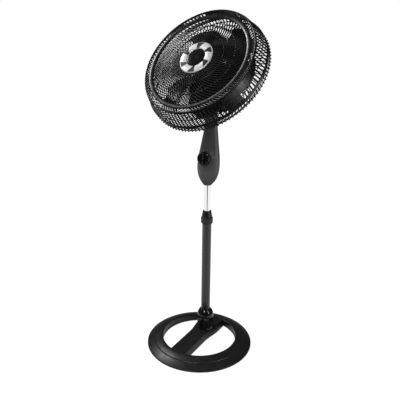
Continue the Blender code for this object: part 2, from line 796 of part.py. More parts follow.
def tilt_hand_nut(frame):
    """Hand nut that sets the tilt's friction."""
    low = FORK_OUTER + GAP
    lobes = 6
    outline = []
    for step in range(24):
        angle = math.tau * step / 24
        radius = 0.0110 + 0.0016 * math.cos(lobes * angle)
        outline.append((radius * math.cos(angle), radius * math.sin(angle)))
    mesh_data = bmesh.new()
    add_prism(mesh_data, outline, low, low + 0.0110)
    nut = finish("tilt_hand_nut", mesh_data, black_plastic("hand_nut_plastic"), frame)
    axis = (0.0, PIVOT_BACK, PIVOT_HEIGHT - NECK_BOTTOM)
    place = Matrix.Translation(axis) @ Matrix.Rotation(-math.pi / 2, 4, "Y")
    turn_mesh(nut, place)
    bore = revolved("hand_nut_bore_guide", rod_outline(BOLT_RADIUS + GAP, 0.0, FORK_OUTER + 0.0080),
                    nut.data.materials[0], frame, 12)
    cut(nut, turn_mesh(bore, place))


def neck_screws(frame):
    """Two screws that close the neck, in the rear cover."""
    for index, height in enumerate((0.7300, 0.9000)):
        centre, _, deep = neck_section(height)
        back = centre + deep + 0.0010
        name = "neck_screw_" + str(index)
        outline = rod_outline(0.0036, back, back + 0.0020, 0.0005)
        screw = revolved(name, outline, steel(name + "_steel"), frame, 12)
        lay = Matrix.Translation((0.0, 0.0, height - NECK_BOTTOM)) @ Matrix.Rotation(-math.pi / 2, 4, "X")
        turn_mesh(screw, lay)


def speed_knob(frame):
    """Round speed knob with a grip bar."""
    outline = [(0.0, KNOB_DEPTH), (KNOB_RADIUS - 0.0040, KNOB_DEPTH),
               (KNOB_RADIUS - 0.0010, KNOB_DEPTH - 0.0020),
               (KNOB_RADIUS, KNOB_DEPTH - 0.0050), (KNOB_RADIUS, 0.0), (KNOB_RADIUS - 0.0030, 0.0),
               (KNOB_RADIUS - 0.0030, 0.0040), (0.0, 0.0040)]
    knob = revolved("speed_knob", outline, gloss_black("knob_plastic"), frame, 24)
    mesh_data = bmesh.new()
    reach = KNOB_RADIUS - 0.0035
    side = KNOB_GRIP / 2
    add_box(mesh_data, (-side, -reach, KNOB_DEPTH - 0.0020), (side, reach, KNOB_DEPTH + 0.0060))
    bmesh.ops.bevel(mesh_data, geom=list(mesh_data.edges), offset=0.0012, segments=2, affect="EDGES")
    merge(knob, finish("grip_guide", mesh_data, knob.data.materials[0], frame))


def switch_shaft(frame):
    """Shaft from the knob into the switch."""
    outline = rod_outline(0.0030, -0.0119, 0.0037, 0.0003)
    revolved("switch_shaft", outline, steel("switch_shaft_steel"), frame, 12)


def speed_switch(frame, knob_matrix):
    """Rotary speed switch behind the panel."""
    mesh_data = bmesh.new()
    add_box(mesh_data, (-0.0130, -0.0130, -0.0290), (0.0130, 0.0130, -0.0122))
    body = finish("speed_switch", mesh_data, black_plastic("switch_plastic"), frame)
    turn_mesh(body, knob_matrix)


def capacitor(frame):
    """Motor capacitor above the switch."""
    centre = neck_section(0.8300)[0]
    box("capacitor", (-0.0130, centre - 0.0170, 0.8170 - NECK_BOTTOM),
        (0.0130, centre - 0.0170 + 0.0125, 0.8470 - NECK_BOTTOM),
        principled("capacitor_case", (0.6, 0.6, 0.58), 0.5),
        frame, 0.0010)


def cord_bush(frame):
    """Bush in the rear cover for the supply cord."""
    height = 0.7540
    centre, _, deep = neck_section(height)
    back = centre + deep
    outline = [(0.0085, back + 0.0040), (0.0085, back + 0.0012), (0.0060, back + 0.0012),
               (0.0060, back - 0.0045),
               (0.0035, back - 0.0045), (0.0035, back + 0.0040)]
    bush = revolved("cord_bush", outline, rubber("bush_rubber"), frame, 12)
    lay = Matrix.Translation((0.0, 0.0, height - NECK_BOTTOM)) @ Matrix.Rotation(-math.pi / 2, 4, "X")
    turn_mesh(bush, lay)
    hole = revolved("cord_hole_guide", rod_outline(0.0060 + GAP, back - 0.02, back + 0.01),
                    bush.data.materials[0], frame, 12)
    turn_mesh(hole, lay)
    cut(bpy.data.objects["neck_back"], hole)


# ---------------------------------------------------------------- head: tilt and swing
def tilt_bracket(frame):
    """Knuckle on the tilt bolt, with the swing pin's seat and the link's arm."""
    half = FORK_INNER - GAP
    knuckle = revolved("tilt_bracket", tube_outline(0.0120, BOLT_RADIUS + GAP, -half, half),
                       aluminium("bracket_cast"), frame, 20)
    turn_mesh(knuckle, Matrix.Rotation(math.pi / 2, 4, "Y"))
    seat = revolved("seat_guide", tube_outline(0.0120, PIN_RADIUS - 0.0010, 0.0080, SEAT_TOP),
                    knuckle.data.materials[0], frame, 20)
    merge(knuckle, seat)
    mesh_data = bmesh.new()
    add_box(mesh_data, (0.0040, 0.0020, SEAT_TOP - 0.0032),
            (ARM_RIGHT + 0.0045, ARM_BACK + 0.0060, SEAT_TOP - 0.0002))
    merge(knuckle, finish("arm_guide", mesh_data, knuckle.data.materials[0], frame))
    hole = revolved("arm_hole_guide", rod_outline(0.0018, 0.0, 0.03), knuckle.data.materials[0], frame, 12)
    cut(knuckle, turn_mesh(hole, Matrix.Translation((ARM_RIGHT, ARM_BACK, 0.0))))
    pin_hole = revolved("seat_bore_guide", rod_outline(PIN_RADIUS + GAP, SEAT_TOP - 0.0070, 0.05),
                        knuckle.data.materials[0], frame, 12)
    cut(knuckle, pin_hole)


def swing_pin(frame):
    """Hardened pin pressed into the bracket. The head swings on it and rests on its collar."""
    collar = PIN_RADIUS + 0.0006
    top = CASE_LOW + 0.0090
    foot = SEAT_TOP - 0.0065
    outline = [(0.0, top), (PIN_RADIUS, top), (PIN_RADIUS, BOSS_LOW - GAP), (collar, BOSS_LOW - GAP),
               (collar, SEAT_TOP + GAP), (PIN_RADIUS, SEAT_TOP + GAP), (PIN_RADIUS, foot), (0.0, foot)]
    revolved("swing_pin", outline, steel("pin_steel"), frame, 12)


def link_arm(frame):
    """Link from the bracket's arm to the crank. Its far eye is left open of the crank pin."""
    reach = Vector((-CRANK_LEFT - ARM_RIGHT, CRANK_BACK + CRANK_THROW - ARM_BACK))
    length = reach.length
    outline = []
    for step in range(9):
        angle = math.pi / 2 + math.pi * step / 8
        outline.append((LINK_EYE * math.cos(angle), LINK_EYE * math.sin(angle)))
    for step in range(9):
        angle = -math.pi / 2 + math.pi * step / 8
        outline.append((length + LINK_EYE * math.cos(angle), LINK_EYE * math.sin(angle)))
    mesh_data = bmesh.new()
    add_prism(mesh_data, outline, 0.0, LINK_THICK)
    link = finish("link_arm", mesh_data, steel("link_steel"), frame)
    turn_mesh(link, Matrix.Rotation(math.atan2(reach.y, reach.x), 4, "Z"))
    stud = revolved("link_stud_guide", rod_outline(0.0015, -0.0034, 0.0010), link.data.materials[0], frame,
                    12)
    merge(link, stud)


def gear_case(frame):
    """Cast case behind the motor: boss for the swing pin and bearings for the gears."""
    mesh_data = bmesh.new()
    top = AXIS_RISE + CASE_RISE
    add_box(mesh_data, (CASE_LEFT, CASE_FRONT, CASE_LOW), (CASE_RIGHT, CASE_BACK, top))
    case = finish("gear_case", mesh_data, aluminium("case_cast"), frame)
    boss = revolved("boss_guide", rod_outline(PIN_RADIUS + 0.0040, BOSS_LOW, CASE_LOW + 0.0015),
                    case.data.materials[0], frame, 20)
    merge(case, boss)
    mesh_data = bmesh.new()
    add_box(mesh_data, (-0.0080, 0.0, BOSS_LOW + 0.0013), (0.0080, CASE_FRONT + 0.0080, CASE_LOW + 0.0012))
    merge(case, finish("boss_web_guide", mesh_data, case.data.materials[0], frame))
    mesh_data = bmesh.new()
    add_box(mesh_data, (CASE_LEFT + CASE_WALL, CASE_FRONT + CASE_WALL, CASE_LOW + 0.0030),
            (CASE_RIGHT - CASE_WALL, CASE_BACK + 0.0140, top - CASE_WALL))
    cut(case, finish("case_room_guide", mesh_data, case.data.materials[0], frame))
    holes = (("pin_bore_guide", 0.0, 0.0, PIN_RADIUS + GAP, 0.0, CASE_LOW + 0.0100),
             ("crank_hole_guide", -CRANK_LEFT, CRANK_BACK, 0.0038, 0.0, CASE_LOW + 0.0100),
             ("wheel_hole_guide", WHEEL_RIGHT, WHEEL_BACK, 0.0036, AXIS_RISE + 0.0100, top + 0.0100))
    for name, x, y, radius, low, high in holes:
        tool = revolved(name, rod_outline(radius, low, high), case.data.materials[0], frame, 12)
        cut(case, turn_mesh(tool, Matrix.Translation((x, y, 0.0))))
    shaft_hole = revolved("case_shaft_guide", rod_outline(WORM_RADIUS + 0.0012, -0.02, 0.0160),
                          case.data.materials[0], frame, 12)
    lay = Matrix.Translation((0.0, 0.0, AXIS_RISE)) @ Matrix.Rotation(-math.pi / 2, 4, "X")
    cut(case, turn_mesh(shaft_hole, lay))


def case_cover(frame):
    """Plate that closes the gear case."""
    box("case_cover", (CASE_LEFT, CASE_BACK + GAP, CASE_LOW),
        (CASE_RIGHT, CASE_BACK + CASE_WALL, AXIS_RISE + CASE_RISE),
        black_plastic("case_cover_plastic"), frame)


def gear_outline(radius, teeth, depth, turn=0.0):
    """Outline of a small spur gear with flat-topped teeth."""
    outline = []
    for tooth in range(teeth):
        for share, height in ((-0.30, -1.0), (-0.14, 1.0), (0.14, 1.0), (0.30, -1.0)):
            angle = turn + math.tau * (tooth + share) / teeth
            reach = radius + height * depth / 2
            outline.append((reach * math.cos(angle), reach * math.sin(angle)))
    return outline


def worm(frame):
    """Worm on the end of the rotor's shaft."""
    bore = SHAFT_RADIUS - SHAFT_STEP + GAP
    outline = tube_outline(WORM_RADIUS, bore, -0.0450, -0.0260)
    revolved("worm", outline, steel("worm_steel"), frame, 12)


def worm_wheel(frame):
    """Nylon wheel driven by the worm, with the pinion below it."""
    mesh_data = bmesh.new()
    add_prism(mesh_data, gear_outline(WHEEL_RADIUS - 0.0006, 16, 0.0012), AXIS_RISE - 0.0060,
              AXIS_RISE + 0.0060)
    wheel = finish("worm_wheel", mesh_data, nylon("wheel_nylon"), frame)
    mesh_data = bmesh.new()
    pinion = gear_outline(PINION_RADIUS, 10, 0.0014, MESH_ANGLE + math.pi + math.pi / 10)
    add_prism(mesh_data, pinion, CASE_LOW + 0.0040, CASE_LOW + 0.0130)
    merge(wheel, finish("pinion_guide", mesh_data, wheel.data.materials[0], frame))
    axle = revolved("wheel_axle_guide", rod_outline(0.0028, CASE_LOW + 0.0035, AXIS_RISE + 0.0120),
                    wheel.data.materials[0], frame, 12)
    merge(wheel, axle)


def crank_gear(frame):
    """Output gear in the case, its axle and the crank disc under the case."""
    mesh_data = bmesh.new()
    add_prism(mesh_data, gear_outline(CRANK_RADIUS, 28, 0.0014, MESH_ANGLE), CASE_LOW + 0.0050,
              CASE_LOW + 0.0120)
    gear = finish("crank_gear", mesh_data, nylon("crank_nylon"), frame)
    outline = [(0.0, CASE_LOW + 0.0100), (0.0034, CASE_LOW + 0.0100), (0.0034, CASE_LOW - 0.0006),
               (0.0120, CASE_LOW - 0.0006), (0.0120, CASE_LOW - 0.0034), (0.0, CASE_LOW - 0.0034)]
    merge(gear, revolved("crank_disc_guide", outline, gear.data.materials[0], frame, 12))
    pin = revolved("crank_pin_guide", rod_outline(0.0018, LINK_LOW + LINK_THICK + 0.0006,
                                                  CASE_LOW - 0.0020),
                   gear.data.materials[0], frame, 12)
    merge(gear, turn_mesh(pin, Matrix.Translation((0.0, CRANK_THROW, 0.0))))


def swing_knob(frame):
    """Pull knob on the head that lets the swing gear go."""
    top = AXIS_RISE + math.sqrt(COVER_RADIUS ** 2 - WHEEL_RIGHT ** 2)
    outline = [(0.0, top + 0.0150), (0.0060, top + 0.0150), (0.0085, top + 0.0130), (0.0085, top + 0.0100),
               (0.0055, top + 0.0060), (0.0055, top + 0.0025), (0.0030, top + 0.0025),
               (0.0030, AXIS_RISE + 0.0130), (0.0, AXIS_RISE + 0.0130)]
    revolved("swing_knob", outline, gloss_black("swing_knob_plastic"), frame, 12)


# ---------------------------------------------------------------- head: motor (frame's Z runs forward)
def bell(name, mouth, floor, boss_end, frame):
    """Cast end bell of the motor, open towards the stator."""
    back = 1.0 if floor > mouth else -1.0
    inner = floor - back * BELL_WALL
    boss = 0.0095 if name == "rear_bell" else 0.0200
    bore = SHAFT_RADIUS + GAP + BUSH_WALL + GAP
    outline = [(MOTOR_RADIUS - 0.0015, floor), (MOTOR_RADIUS, floor - back * 0.0020), (MOTOR_RADIUS, mouth),
               (MOTOR_RADIUS - BELL_WALL, mouth), (MOTOR_RADIUS - BELL_WALL, inner), (bore, inner),
               (bore, boss_end),
               (boss, boss_end), (boss, floor)]
    revolved(name, outline, aluminium(name + "_cast"), frame, 24)


def stator(frame):
    """Laminated stator."""
    outline = tube_outline(MOTOR_RADIUS, ROTOR_RADIUS + 2.0 * GAP, STATOR_BACK + GAP,
                           STATOR_BACK + STATOR_LENGTH - GAP)
    revolved("stator", outline, steel("lamination_steel"), frame, 24)


def windings(frame):
    """End windings on both sides of the stator."""
    front = STATOR_BACK + STATOR_LENGTH
    ends = (("front_winding", front + GAP, front + 0.0080),
            ("rear_winding", STATOR_BACK - 0.0080, STATOR_BACK - GAP))
    for name, low, high in ends:
        revolved(name, tube_outline(0.0400, 0.0270, low, high), copper(name + "_copper"), frame, 20)


def rotor_core(frame):
    """Squirrel-cage rotor."""
    outline = tube_outline(ROTOR_RADIUS, SHAFT_RADIUS + GAP, STATOR_BACK - 0.0010,
                           STATOR_BACK + STATOR_LENGTH + 0.0010)
    revolved("rotor_core", outline, aluminium("rotor_metal"), frame, 24)


def motor_shaft(frame):
    """Steel shaft, thinner where the worm sits."""
    outline = [(0.0, HUB_BACK + HUB_LENGTH + 0.0120), (SHAFT_RADIUS, HUB_BACK + HUB_LENGTH + 0.0120),
               (SHAFT_RADIUS, -0.0240),
               (SHAFT_RADIUS - SHAFT_STEP, -0.0240), (SHAFT_RADIUS - SHAFT_STEP, -0.0470), (0.0, -0.0470)]
    revolved("motor_shaft", outline, steel("shaft_steel"), frame, 12)


def bush(name, low, high, frame):
    """Sintered bearing bush."""
    outline = tube_outline(SHAFT_RADIUS + GAP + BUSH_WALL, SHAFT_RADIUS + GAP, low, high)
    revolved(name, outline, bronze(name + "_bronze"), frame, 12)


def motor_cover(frame):
    """Domed cover over motor and gears, open below for the bracket."""
    front = PLATE_FORWARD - 0.0008
    outer = []
    steps = 5
    back = front - COVER_LENGTH
    for step in range(steps + 1):
        angle = math.pi / 2 * step / steps
        outer.append((COVER_RADIUS * math.cos(angle), back + COVER_DOME * (1.0 - math.sin(angle))))
    inner = []
    for step in range(steps + 1):
        angle = math.pi / 2 * (steps - step) / steps
        depth = COVER_WALL + (COVER_DOME - COVER_WALL) * (1.0 - math.sin(angle))
        inner.append(((COVER_RADIUS - COVER_WALL) * math.cos(angle), back + depth))
    outline = [(COVER_RADIUS, front)] + outer + inner + [(COVER_RADIUS - COVER_WALL, front)]
    outline[1 + steps] = (0.0, outline[1 + steps][1])
    outline[2 + steps] = (0.0, outline[2 + steps][1])
    cover = revolved("motor_cover", outline, black_plastic("cover_plastic"), frame, 24)
    mesh_data = bmesh.new()
    add_box(mesh_data, (-0.0500, -AXIS_RISE - 0.02, -0.0760),
            (0.0500, CASE_LOW - AXIS_RISE - 0.0010, 0.0300))
    cut(cover, finish("cover_mouth_guide", mesh_data, cover.data.materials[0], frame))
    hole = revolved("cover_hole_guide", rod_outline(0.0036, 0.0, 0.08), cover.data.materials[0], frame, 12)
    stand = Matrix.Translation((WHEEL_RIGHT, 0.0, -WHEEL_BACK)) @ Matrix.Rotation(-math.pi / 2, 4, "X")
    cut(cover, turn_mesh(hole, stand))


# ---------------------------------------------------------------- head: grilles and blade
def front_twist(radius, forward):
    """The front ribs start straight at the hub and lean over towards the band."""
    inside = max(0.0, min(1.0, (radius - 0.060) / (BAND_INNER - 0.060)))
    lean = 0.62 * inside ** 1.4
    depth = max(0.0, RIM_FORWARD - forward)
    if radius > RIM_RADIUS - 0.001:
        lean += 1.1 * depth
    return lean


def front_grille(frame):
    """Front half of the cage: hub, curved ribs, smooth band, rim and drum."""
    hub = RIM_FORWARD + HUB_RISE
    profile = [
        (0.0200, hub, "ring"),
        (0.0600, hub, "rib"),
        (0.1040, hub - 0.0010, "ring"),
        (0.1068, hub - 0.0012, "rib"),
        (0.1465, hub - 0.0054, "ring"),
        (0.1493, hub - 0.0060, "rib"),
        (0.1680, hub - 0.0098, "rib"),
        (BAND_INNER, hub - 0.0140, "ring"),
        (BAND_INNER + 0.0080, hub - 0.0118, "ring"),
        (BAND_INNER + 0.0190, hub - 0.0120, "rib"),
        (RIM_RADIUS - 0.0060, hub - 0.0090, "ring"),
        (RIM_RADIUS - 0.0016, RIM_FORWARD - 0.0022, "ring"),
        (RIM_RADIUS + 0.0004, RIM_FORWARD - 0.0100, "rib"),
        (0.5 * (RIM_RADIUS + SEAM_RADIUS), 0.55 * RIM_FORWARD + 0.45 * SEAM_FORWARD, "rib"),
        (SEAM_RADIUS - 0.0016, SEAM_FORWARD + 0.0110, "ring"),
        (SEAM_RADIUS - GRILLE_WIRE / 2, SEAM_FORWARD + GAP, "end"),
    ]
    mesh_data = bmesh.new()
    add_lattice(mesh_data, profile, FRONT_RIBS, RIB_WIDTH, GRILLE_WIRE, front_twist)
    finish("front_grille", mesh_data, black_plastic("front_grille_plastic"), frame, 50.0)


def rear_twist(radius, forward):
    """The rear ribs lean the other way."""
    return -0.45 * max(0.0, (radius - 0.080) / (SEAM_RADIUS - 0.080)) ** 1.3


def rear_grille(frame):
    """Rear half of the cage: mounting plate, ribs, rings and the seam's band."""
    plate = PLATE_FORWARD + GRILLE_WIRE / 2
    wall = SEAM_RADIUS - GRILLE_WIRE / 2
    ring = REAR_RING_FORWARD
    profile = [
        (0.0230, plate, "ring"),
        (0.0780, plate, "rib"),
        (0.1240, plate + 0.0006, "ring"),
        (0.1268, plate + 0.0008, "rib"),
        (0.1600, plate + 0.0024, "rib"),
        (0.1900, plate + 0.0064, "rib"),
        (0.2150, plate + 0.0118, "rib"),
        (wall - 0.0080, ring - 0.0060, "ring"),
        (wall - 0.0022, ring - 0.0030, "ring"),
        (wall, ring + 0.0020, "rib"),
        (wall, SEAM_FORWARD - 0.0060, "ring"),
        (wall, SEAM_FORWARD - GAP, "end"),
    ]
    mesh_data = bmesh.new()
    add_lattice(mesh_data, profile, REAR_RIBS, RIB_WIDTH, GRILLE_WIRE, rear_twist)
    finish("rear_grille", mesh_data, black_plastic("rear_grille_plastic"), frame, 50.0)


def grille_nut(frame):
    """Plastic ring nut that holds the rear grille on the motor's nose."""
    low = PLATE_FORWARD + GRILLE_WIRE + GAP
    mesh_data = bmesh.new()
    outline = []
    for step in range(48):
        angle = math.tau * step / 48
        radius = 0.0350 + 0.0012 * math.cos(12 * angle)
        outline.append((radius * math.cos(angle), radius * math.sin(angle)))
    add_prism(mesh_data, outline, low, low + 0.0080)
    nut = finish("grille_nut", mesh_data, black_plastic("grille_nut_plastic"), frame)
    bore = revolved("grille_nut_bore_guide", rod_outline(0.0200 + GAP, 0.0, 0.1), nut.data.materials[0],
                    frame, 20)
    cut(nut, bore)


def grille_clips(frame):
    """Clips over the seam."""
    inner = SEAM_RADIUS + GAP
    outer = inner + CLIP_THICKNESS
    half = 0.5 * CLIP_WIDTH
    for index in range(CLIP_COUNT):
        angle = CLIP_START + math.tau * index / CLIP_COUNT
        name = "grille_clip_" + str(index)
        clip = box(name, (inner, -half, SEAM_FORWARD - 0.0080), (outer, half, SEAM_FORWARD + 0.0090),
                   black_plastic(name + "_plastic"), frame)
        turn_mesh(clip, Matrix.Rotation(angle, 4, "Z"))


def fan_blade(frame):
    """Six swept blades on a cup-shaped hub."""
    top = HUB_BACK + HUB_LENGTH
    bore = SHAFT_RADIUS + GAP
    outline = [(bore, top), (BLADE_HUB - 0.0040, top), (BLADE_HUB, top - 0.0040), (BLADE_HUB, HUB_BACK),
               (BLADE_HUB - 0.0030, HUB_BACK), (BLADE_HUB - 0.0030, top - 0.0040), (0.0120, top - 0.0040),
               (0.0120, HUB_BACK + 0.0060), (bore, HUB_BACK + 0.0060)]
    blade = revolved("fan_blade", outline, gloss_black("blade_plastic"), frame, 36)
    for index in range(BLADE_COUNT):
        mesh_data = bmesh.new()
        add_blade(mesh_data, BLADE_TURN + math.tau * index / BLADE_COUNT)
        merge(blade, finish("blade_guide_" + str(index), mesh_data, blade.data.materials[0], frame))


def add_blade(mesh_data, turn):
    """One blade: a thin plate that sweeps forward and flattens towards the tip."""
    rows = 5
    steps = 5
    root = BLADE_HUB - 0.0015
    layers = []
    for side in (0.5, -0.5):
        layer = []
        for row in range(rows + 1):
            share = row / rows
            radius = root + (BLADE_RADIUS - root) * share
            span = BLADE_SPAN * (0.68 + 0.36 * math.sin(math.pi * min(1.0, 1.1 * share)) + 0.10 * share)
            sweep = BLADE_SWEEP * share ** 1.5
            rise = BLADE_RISE - 0.0060 * share
            line = []
            for step in range(steps + 1):
                part = step / steps - 0.5
                angle = turn + sweep + span * part
                height = HUB_BACK + 0.5 * HUB_LENGTH + rise * part * (1.0 - 0.35 * abs(part))
                corner = 0.0
                if row == rows:
                    corner = 0.012 * (2.0 * abs(part)) ** 3
                reach = radius - corner
                place = (reach * math.cos(angle), reach * math.sin(angle), height + side * BLADE_THICKNESS)
                line.append(mesh_data.verts.new(place))
            layer.append(line)
        layers.append(layer)
    outer, inner = layers
    for row in range(rows):
        for step in range(steps):
            for layer in layers:
                mesh_data.faces.new((layer[row][step], layer[row][step + 1],
                                     layer[row + 1][step + 1], layer[row + 1][step]))
        for step in (0, steps):
            mesh_data.faces.new((outer[row][step], outer[row + 1][step], inner[row + 1][step],
                                 inner[row][step]))
    for row in (0, rows):
        for step in range(steps):
            mesh_data.faces.new((outer[row][step], outer[row][step + 1], inner[row][step + 1],
                                 inner[row][step]))


def blade_nut(frame):
    """Spinner that screws on the shaft and holds the blade."""
    low = HUB_BACK + HUB_LENGTH + GAP
    bore = SHAFT_RADIUS + GAP
    outline = [(0.0, low + 0.0180), (0.0070, low + 0.0170), (0.0120, low + 0.0130), (0.0150, low + 0.0060),
               (0.0155, low), (bore, low), (bore, low + 0.0125), (0.0, low + 0.0125)]
    revolved("blade_nut", outline, gloss_black("spinner_plastic"), frame, 20)


def badge_ring(frame):
    """Silver ring on the grille's hub with six dark marks, which are moulded dimples."""
    low = RIM_FORWARD + HUB_RISE + GRILLE_WIRE / 2 + GAP
    top = low + BADGE_HEIGHT
    outline = [(BADGE_RADIUS - 0.0040, top), (BADGE_RADIUS, low + BADGE_HEIGHT / 2), (BADGE_RADIUS, low),
               (BADGE_DISC + GAP, low), (BADGE_DISC + GAP, top)]
    revolved("badge_ring", outline, silver_paint("badge_silver"), frame, 24)


def badge_disc(frame):
    """Plain dark disc in the middle of the ring."""
    low = RIM_FORWARD + HUB_RISE + GRILLE_WIRE / 2 + GAP
    top = low + BADGE_HEIGHT - 0.0002
    outline = [(0.0, top), (BADGE_DISC - 0.0040, top - 0.0002), (BADGE_DISC - GAP, top - 0.0010),
               (BADGE_DISC - GAP, low), (0.0, low)]
    revolved("badge_disc", outline, black_plastic("badge_plastic"), frame, 24)


# ---------------------------------------------------------------- assembly
def build_base(root):
    """Everything that stands still."""
    base_shell(root)
    ballast_ring(root)
    ring_plate(root)
    foot_plate(root)
    base_pads(root)
    column_socket(root)
    base_bolt(root)
    foot_dome(root)
    outer_tube(root)
    collet(root)


def build_neck(frame):
    """Inner tube, neck and what is in it."""
    mast(frame)
    mast_guide(frame)
    margin = math.radians(0.3)
    neck_shell("neck_front", math.pi - NECK_SEAM + margin, math.tau + NECK_SEAM - margin, frame)
    neck_shell("neck_back", NECK_SEAM + margin, math.pi - NECK_SEAM - margin, frame)
    control_panel(frame)
    neck_core(frame)
    tilt_bolt(frame)
    tilt_hand_nut(frame)
    neck_screws(frame)
    capacitor(frame)
    cord_bush(frame)
    build_controls(frame)


def build_controls(frame):
    """Speed knob and switch, square to the sloping panel."""
    centre, _, deep = neck_section(KNOB_HEIGHT)
    lean = math.radians(80.0)
    front = centre - deep - 0.0016
    place = (0.0, front - 0.0035, KNOB_HEIGHT - NECK_BOTTOM)
    knob_frame = frame_at("knob_frame", frame, place, (lean, 0.0, 0.0))
    speed_knob(knob_frame)
    switch_shaft(knob_frame)
    matrix = Matrix.Translation(place) @ Matrix.Rotation(lean, 4, "X")
    speed_switch(frame, matrix)
    hole = revolved("shaft_hole_guide", rod_outline(0.0045, -0.0200, 0.0100),
                    bpy.data.objects["speed_knob"].data.materials[0], frame, 12)
    turn_mesh(hole, matrix)
    cut(bpy.data.objects["neck_front"], hole)
    cut(bpy.data.objects["control_panel"], hole)


def build_head(neck_frame):
    """Bracket, gear, motor, blade and cage."""
    place = (0.0, PIVOT_BACK, PIVOT_HEIGHT - NECK_BOTTOM)
    tilt_frame = frame_at("tilt_frame", neck_frame, place, (-TILT, 0.0, 0.0))
    tilt_bracket(tilt_frame)
    swing_pin(tilt_frame)
    link_frame = frame_at("link_frame", tilt_frame, (ARM_RIGHT, ARM_BACK, LINK_LOW))
    link_arm(link_frame)
    swing_frame = frame_at("swing_frame", tilt_frame, (0.0, 0.0, 0.0), (0.0, 0.0, SWING))
    gear_case(swing_frame)
    case_cover(swing_frame)
    wheel_frame = frame_at("wheel_frame", swing_frame, (WHEEL_RIGHT, WHEEL_BACK, 0.0))
    worm_wheel(wheel_frame)
    swing_knob_frame = frame_at("swing_knob_frame", swing_frame, (WHEEL_RIGHT, WHEEL_BACK, 0.0))
    swing_knob(swing_knob_frame)
    crank_frame = frame_at("crank_frame", swing_frame, (-CRANK_LEFT, CRANK_BACK, 0.0))
    crank_gear(crank_frame)
    forward = (math.pi / 2, 0.0, 0.0)
    motor_frame = frame_at("motor_frame", swing_frame, (0.0, 0.0, AXIS_RISE), forward)
    rotor_frame = frame_at("rotor_frame", swing_frame, (0.0, 0.0, AXIS_RISE), forward)
    build_motor(motor_frame, rotor_frame)
    build_cage(motor_frame)


def build_motor(motor_frame, rotor_frame):
    """Still and turning pieces of the motor."""
    front = STATOR_BACK + STATOR_LENGTH
    bell("front_bell", front, PLATE_FORWARD - 0.0030, PLATE_FORWARD + 0.0120, motor_frame)
    bell("rear_bell", STATOR_BACK, 0.0060, -0.0040, motor_frame)
    stator(motor_frame)
    windings(motor_frame)
    bush("front_bush", PLATE_FORWARD - 0.0050, PLATE_FORWARD + 0.0080, motor_frame)
    bush("rear_bush", -0.0035, 0.0080, motor_frame)
    motor_cover(motor_frame)
    rotor_core(rotor_frame)
    motor_shaft(rotor_frame)
    worm(rotor_frame)
    fan_blade(rotor_frame)
    blade_nut(rotor_frame)


def build_cage(motor_frame):
    """Grilles and what is on them."""
    rear_grille(motor_frame)
    grille_nut(motor_frame)
    front_grille(motor_frame)
    grille_clips(motor_frame)
    badge_ring(motor_frame)
    badge_disc(motor_frame)


def main():
    clear_scene()
    root = frame_at("base_frame", None, (0.0, 0.0, 0.0))
    build_base(root)
    nut_frame = frame_at("nut_frame", root, (0.0, 0.0, COLLAR_BOTTOM))
    height_nut(nut_frame)
    neck_frame = frame_at("neck_frame", root, (0.0, 0.0, NECK_BOTTOM))
    build_neck(neck_frame)
    build_head(neck_frame)
    bpy.context.view_layer.update()


main()
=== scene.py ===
"""Looks of the pedestal fan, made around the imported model.

Every new piece is a surface worked out on a grid, in metres, in the model's own frame.
"""

import json
import math

import bmesh
import bpy
import numpy as np
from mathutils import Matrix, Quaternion, Vector


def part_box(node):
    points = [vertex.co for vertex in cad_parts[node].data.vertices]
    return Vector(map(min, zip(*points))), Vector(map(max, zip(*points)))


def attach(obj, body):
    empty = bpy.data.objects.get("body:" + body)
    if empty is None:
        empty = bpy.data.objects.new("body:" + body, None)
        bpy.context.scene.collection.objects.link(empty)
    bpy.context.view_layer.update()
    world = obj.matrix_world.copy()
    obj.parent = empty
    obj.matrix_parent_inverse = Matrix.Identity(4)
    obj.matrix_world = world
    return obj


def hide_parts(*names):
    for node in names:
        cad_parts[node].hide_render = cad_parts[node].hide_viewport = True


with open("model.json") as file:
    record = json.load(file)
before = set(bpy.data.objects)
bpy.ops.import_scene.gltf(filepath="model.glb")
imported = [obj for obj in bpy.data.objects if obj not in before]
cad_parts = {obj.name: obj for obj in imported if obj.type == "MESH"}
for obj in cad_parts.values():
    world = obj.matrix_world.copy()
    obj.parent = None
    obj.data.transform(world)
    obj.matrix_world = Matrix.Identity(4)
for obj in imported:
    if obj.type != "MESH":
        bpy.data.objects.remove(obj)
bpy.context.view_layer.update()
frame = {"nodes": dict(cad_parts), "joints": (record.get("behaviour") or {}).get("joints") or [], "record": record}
JOINTS = {joint["name"]: joint for joint in frame["joints"]}

# ---------------------------------------------------------------- camera
CAMERA_PLACE = (0.9047, -1.6035, 1.2012)
CAMERA_TARGET = (-0.0251, -0.0147, 0.6114)
CAMERA_ROLL = math.radians(0.677)
CAMERA_LENS = 43.34

# ---------------------------------------------------------------- looks, sizes in metres
GRILLE_RIBS = 76                # curved ribs of the front grille
SLOT_RIBS = 114                 # short ribs outside the smooth band
DRUM_SLATS = 100                # slats of the drum, which lean a little
REAR_RIBS = 105
TOOTH = 0.0036                  # the rear ribs' ends stand out this far beyond the rear ring
FRONT_LEAN = 0.62               # radians that a front rib leans over from hub to band
DRUM_LEAN = 0.4                 # radians that a slat turns for each metre of drum depth
REAR_LEAN = -0.45
BAND_INNER = 0.1858             # smooth band of the front grille
BAND_OUTER = 0.2048
THIN_RINGS = (0.1054, 0.1479)   # radii of the two thin rings in the front grille
PANEL_EDGES = (-31.0, 89.0, 209.0)  # where the drum's half and full panels meet, degrees
HALF_PANEL = 15.5               # degrees covered by the panel of half depth, after that edge
FULL_PANEL = 14.0               # and by the one of full depth, before it
SLOT_STOP = (8.0, 23.0)         # stretch without slots beside the band, from 0, 120 and 240 degrees
GROOVE_IN = 0.0300              # groove in the base's slope, in from its edge
BADGE_MARKS = 6
MARK_LEAD = 46.0                # leading edge of the first mark, degrees
